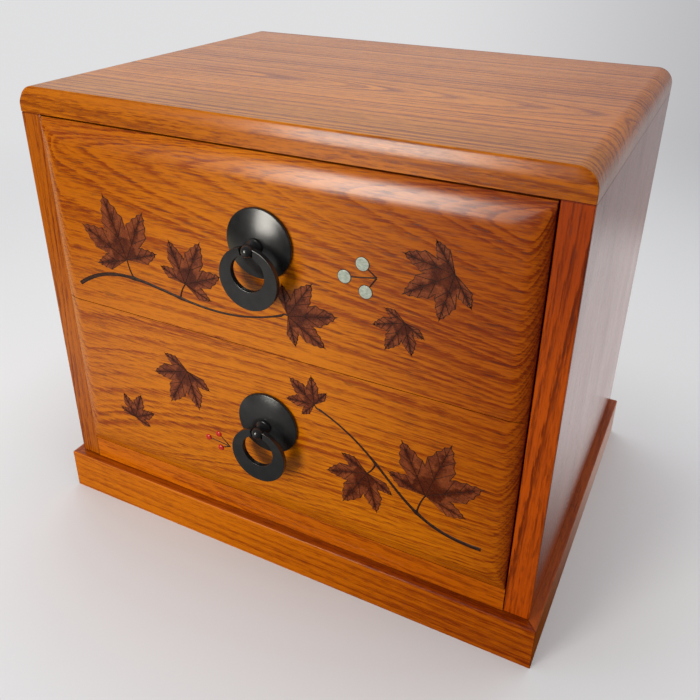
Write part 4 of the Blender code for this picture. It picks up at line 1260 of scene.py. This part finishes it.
def camera():
    """The photograph's viewpoint."""
    azimuth, down, roll = (math.radians(a) for a in (LOOK_AZIMUTH, LOOK_DOWN, LOOK_ROLL))
    level = math.cos(down)
    look = Vector((math.sin(azimuth) * level, math.cos(azimuth) * level, -math.sin(down)))
    right = look.cross(Vector((0, 0, 1))).normalized()
    up = right.cross(look)
    turned_right = right * math.cos(roll) + up * math.sin(roll)
    turned_up = up * math.cos(roll) - right * math.sin(roll)
    basis = Matrix((turned_right, turned_up, -look)).transposed().to_4x4()
    data = bpy.data.cameras.new("camera")
    data.lens = LENS
    data.shift_x, data.shift_y = SHIFT
    data.clip_start = NEAR_CLIP
    made = put("camera", data)
    made.matrix_world = Matrix.Translation(EYE) @ basis
    bpy.context.scene.camera = made


def softbox(name, place, aim, size, power, colour):
    """A rectangular lamp."""
    data = bpy.data.lights.new(name, "AREA")
    data.shape = "RECTANGLE"
    data.size, data.size_y = size
    data.energy = power
    data.color = colour
    made = put(name, data)
    made.location = place
    made.rotation_euler = (Vector(aim) - Vector(place)).to_track_quat("-Z", "Y").to_euler()
    return made


def fall_off(recipe, x, y):
    """Colour of the backdrop, with painted shade that darkens it towards one side of the room."""
    way = (x * DARK_WAY.x + y * DARK_WAY.y) / (x * x + y * y).math("SQRT")
    return recipe.mix(way.ramp(*BACKDROP_FADE), BACKDROP_LIGHT, BACKDROP_DARK)


def floor_sheen(pale, x, y):
    """Colour of the floor in reflections: dim before the chest, with a soft pool of light, and pale
    elsewhere."""
    beside = 1 - x.ramp(*BESIDE_EDGE)
    lit = y.ramp(*LIT_EDGE).math("MAXIMUM", y.ramp(*LIT_EDGE_BESIDE) * beside)
    sheen = pale.mix(y.ramp(*SHEEN_FADE), SHEEN_NEAR, SHEEN_FAR)
    sheen = pale.mix(beside * (1 - y.ramp(*SHEEN_BESIDE_FADE)), sheen, SHEEN_BESIDE)
    off_x, off_y = x - POOL_PLACE[0], y - POOL_PLACE[1]
    pool = 1 - (off_x * off_x + off_y * off_y).math("SQRT").ramp(*POOL_SPREAD)
    return pale.mix(lit, pale.mix(pool, DIM_FLOOR, POOL_SHEEN), sheen)


def floor():
    """Pale floor that keeps the shadow and runs into the backdrop. It bounces little light back onto the
    chest."""
    bm = bmesh.new()
    bmesh.ops.create_circle(bm, cap_ends=True, radius=FLOOR_RADIUS, segments=FLOOR_SEGMENTS)
    made = put("studio_floor", as_mesh(bm))
    pale = Finish("studio_floor_finish", Roughness=0.9, Specular_IOR_Level=0.0)
    x, y, _ = pale.place().split()
    cloud = pale.noise(pale.join(x * 0.5, y * 0.5, 0.0), 2.0)
    # Painted shade: darker and cooler towards the front
    tone = pale.mix(y.ramp(*FLOOR_SHADE_FADE), FLOOR_NEAR_SHADE, FLOOR_FAR)
    pale.fill(pale.shader, {"Base Color": pale.mix(cloud.ramp(0.2, 0.8) * 0.1, tone, FLOOR_CLOUD)})
    seen, glossy = pale.rays()
    shaded = Value(pale, pale.shader.outputs[0])
    sweep = pale.node("ShaderNodeEmission", {}, {0: fall_off(pale, x - EYE.x, y - EYE.y)})
    bounce = pale.node("ShaderNodeBsdfDiffuse", {}, {"Color": FLOOR_BOUNCE})
    mirrored = pale.node("ShaderNodeEmission", {}, {0: floor_sheen(pale, x, y)})
    far = (x * x + y * y).math("SQRT").ramp(*FLOOR_SWEEP)
    mixed = pale.node("ShaderNodeMixShader", {}, {0: far, 1: shaded, 2: sweep})
    mixed = pale.node("ShaderNodeMixShader", {}, {0: seen, 1: bounce, 2: mixed})
    mixed = pale.node("ShaderNodeMixShader", {}, {0: glossy, 1: mixed, 2: mirrored})
    pale.fill(pale.tree.nodes["Material Output"], {"Surface": mixed})
    pale.material.cycles.emission_sampling = "NONE"
    made.data.materials.append(pale.material)


def world():
    """Even soft light, pale behind the chest, with a dim room before it in reflections."""
    room = bpy.data.worlds.new("studio")
    bpy.context.scene.world = room
    sky = Recipe(room)
    x, y, z = sky.node("ShaderNodeTexCoord", {}, {}, "Generated").split()
    seen, glossy = sky.rays()
    backdrop = fall_off(sky, x, y)
    mirrored = sky.mix(y.ramp(*DIM_ROOM_FADE) * MIRRORED_SHARE, DIM_ROOM, backdrop)
    dimmed = x.ramp(*SKY_DIM_SIDE) * (1 - z.ramp(*SKY_DIM_HEIGHT))
    even = sky.mix(dimmed, SKY_EVEN, SKY_DIM)
    colour = sky.mix(seen, sky.mix(glossy, even, mirrored), backdrop)
    sky.fill(sky.tree.nodes["Background"], {"Color": colour, "Strength": 1.0})


def studio():
    """Camera, floor, surroundings and two lamps, of which the overhead one stays out of reflections."""
    bpy.context.scene.view_settings.view_transform = "Standard"
    camera()
    floor()
    world()
    overhead = softbox("overhead_softbox", OVERHEAD_PLACE, OVERHEAD_AIM, OVERHEAD_SIZE, OVERHEAD_POWER,
                       OVERHEAD_COLOUR)
    overhead.visible_glossy = False
    softbox("front_softbox", FRONT_LAMP_PLACE, FRONT_LAMP_AIM, FRONT_LAMP_SIZE, FRONT_LAMP_POWER,
            FRONT_LAMP_COLOUR)


def main():
    """Dresses every piece of the chest and sets up the studio."""
    woods = board_woods()
    iron, steel, peg = black_iron(), zinc_steel(), bamboo()
    leaf, stem, shell, berry = leaf_veneer(), stem_veneer(), shell_finish(), berry_finish()
    dress_top(woods["top"])
    repaint(woods["left"], "left_side_panel")
    repaint(woods["right"], "right_side_panel")
    dress_bottom(woods["rail"])
    repaint(woods["plinth"], "plinth_front_rail", "plinth_rear_rail")
    repaint(woods["plinth_side"], "plinth_left_rail", "plinth_right_rail")
    repaint(woods["cross"], "middle_shelf", "back_panel")
    peg_back(peg)
    for end in ("front", "rear"):
        repaint(woods["box"], f"plinth_{end}_left_block", f"plinth_{end}_right_block")
    for drawer in ("upper", "lower"):
        dress_front(drawer, woods["front"])
        for part in ("left_side", "right_side", "bottom"):
            repaint(woods["box"], f"{drawer}_drawer_{part}")
        repaint(woods["cross"], f"{drawer}_drawer_back")
        repaint(steel, f"{drawer}_pull_washer", f"{drawer}_pull_nut")
        dress_pull(drawer, iron)
        peg_sides(drawer, peg)
    upper, lower = Field("upper", -1), Field("lower", 1)
    dress_spray(upper, UPPER_STEM, UPPER_LEAVES, UPPER_LOOSE_LEAVES, leaf, stem)
    dress_spray(lower, LOWER_STEM, LOWER_LEAVES, LOWER_LOOSE_LEAVES, leaf, stem)
    dress_cluster(upper, "shell", UPPER_SHELLS, UPPER_SHELL_JOINT, SHELL_RADIUS, SHELL_DOME, SHELL_RIM,
                  shell, stem)
    dress_cluster(lower, "berry", LOWER_BERRIES, LOWER_BERRY_JOINT, BERRY_RADIUS, BERRY_DOME, 0.0,
                  berry, stem)
    studio()


main()
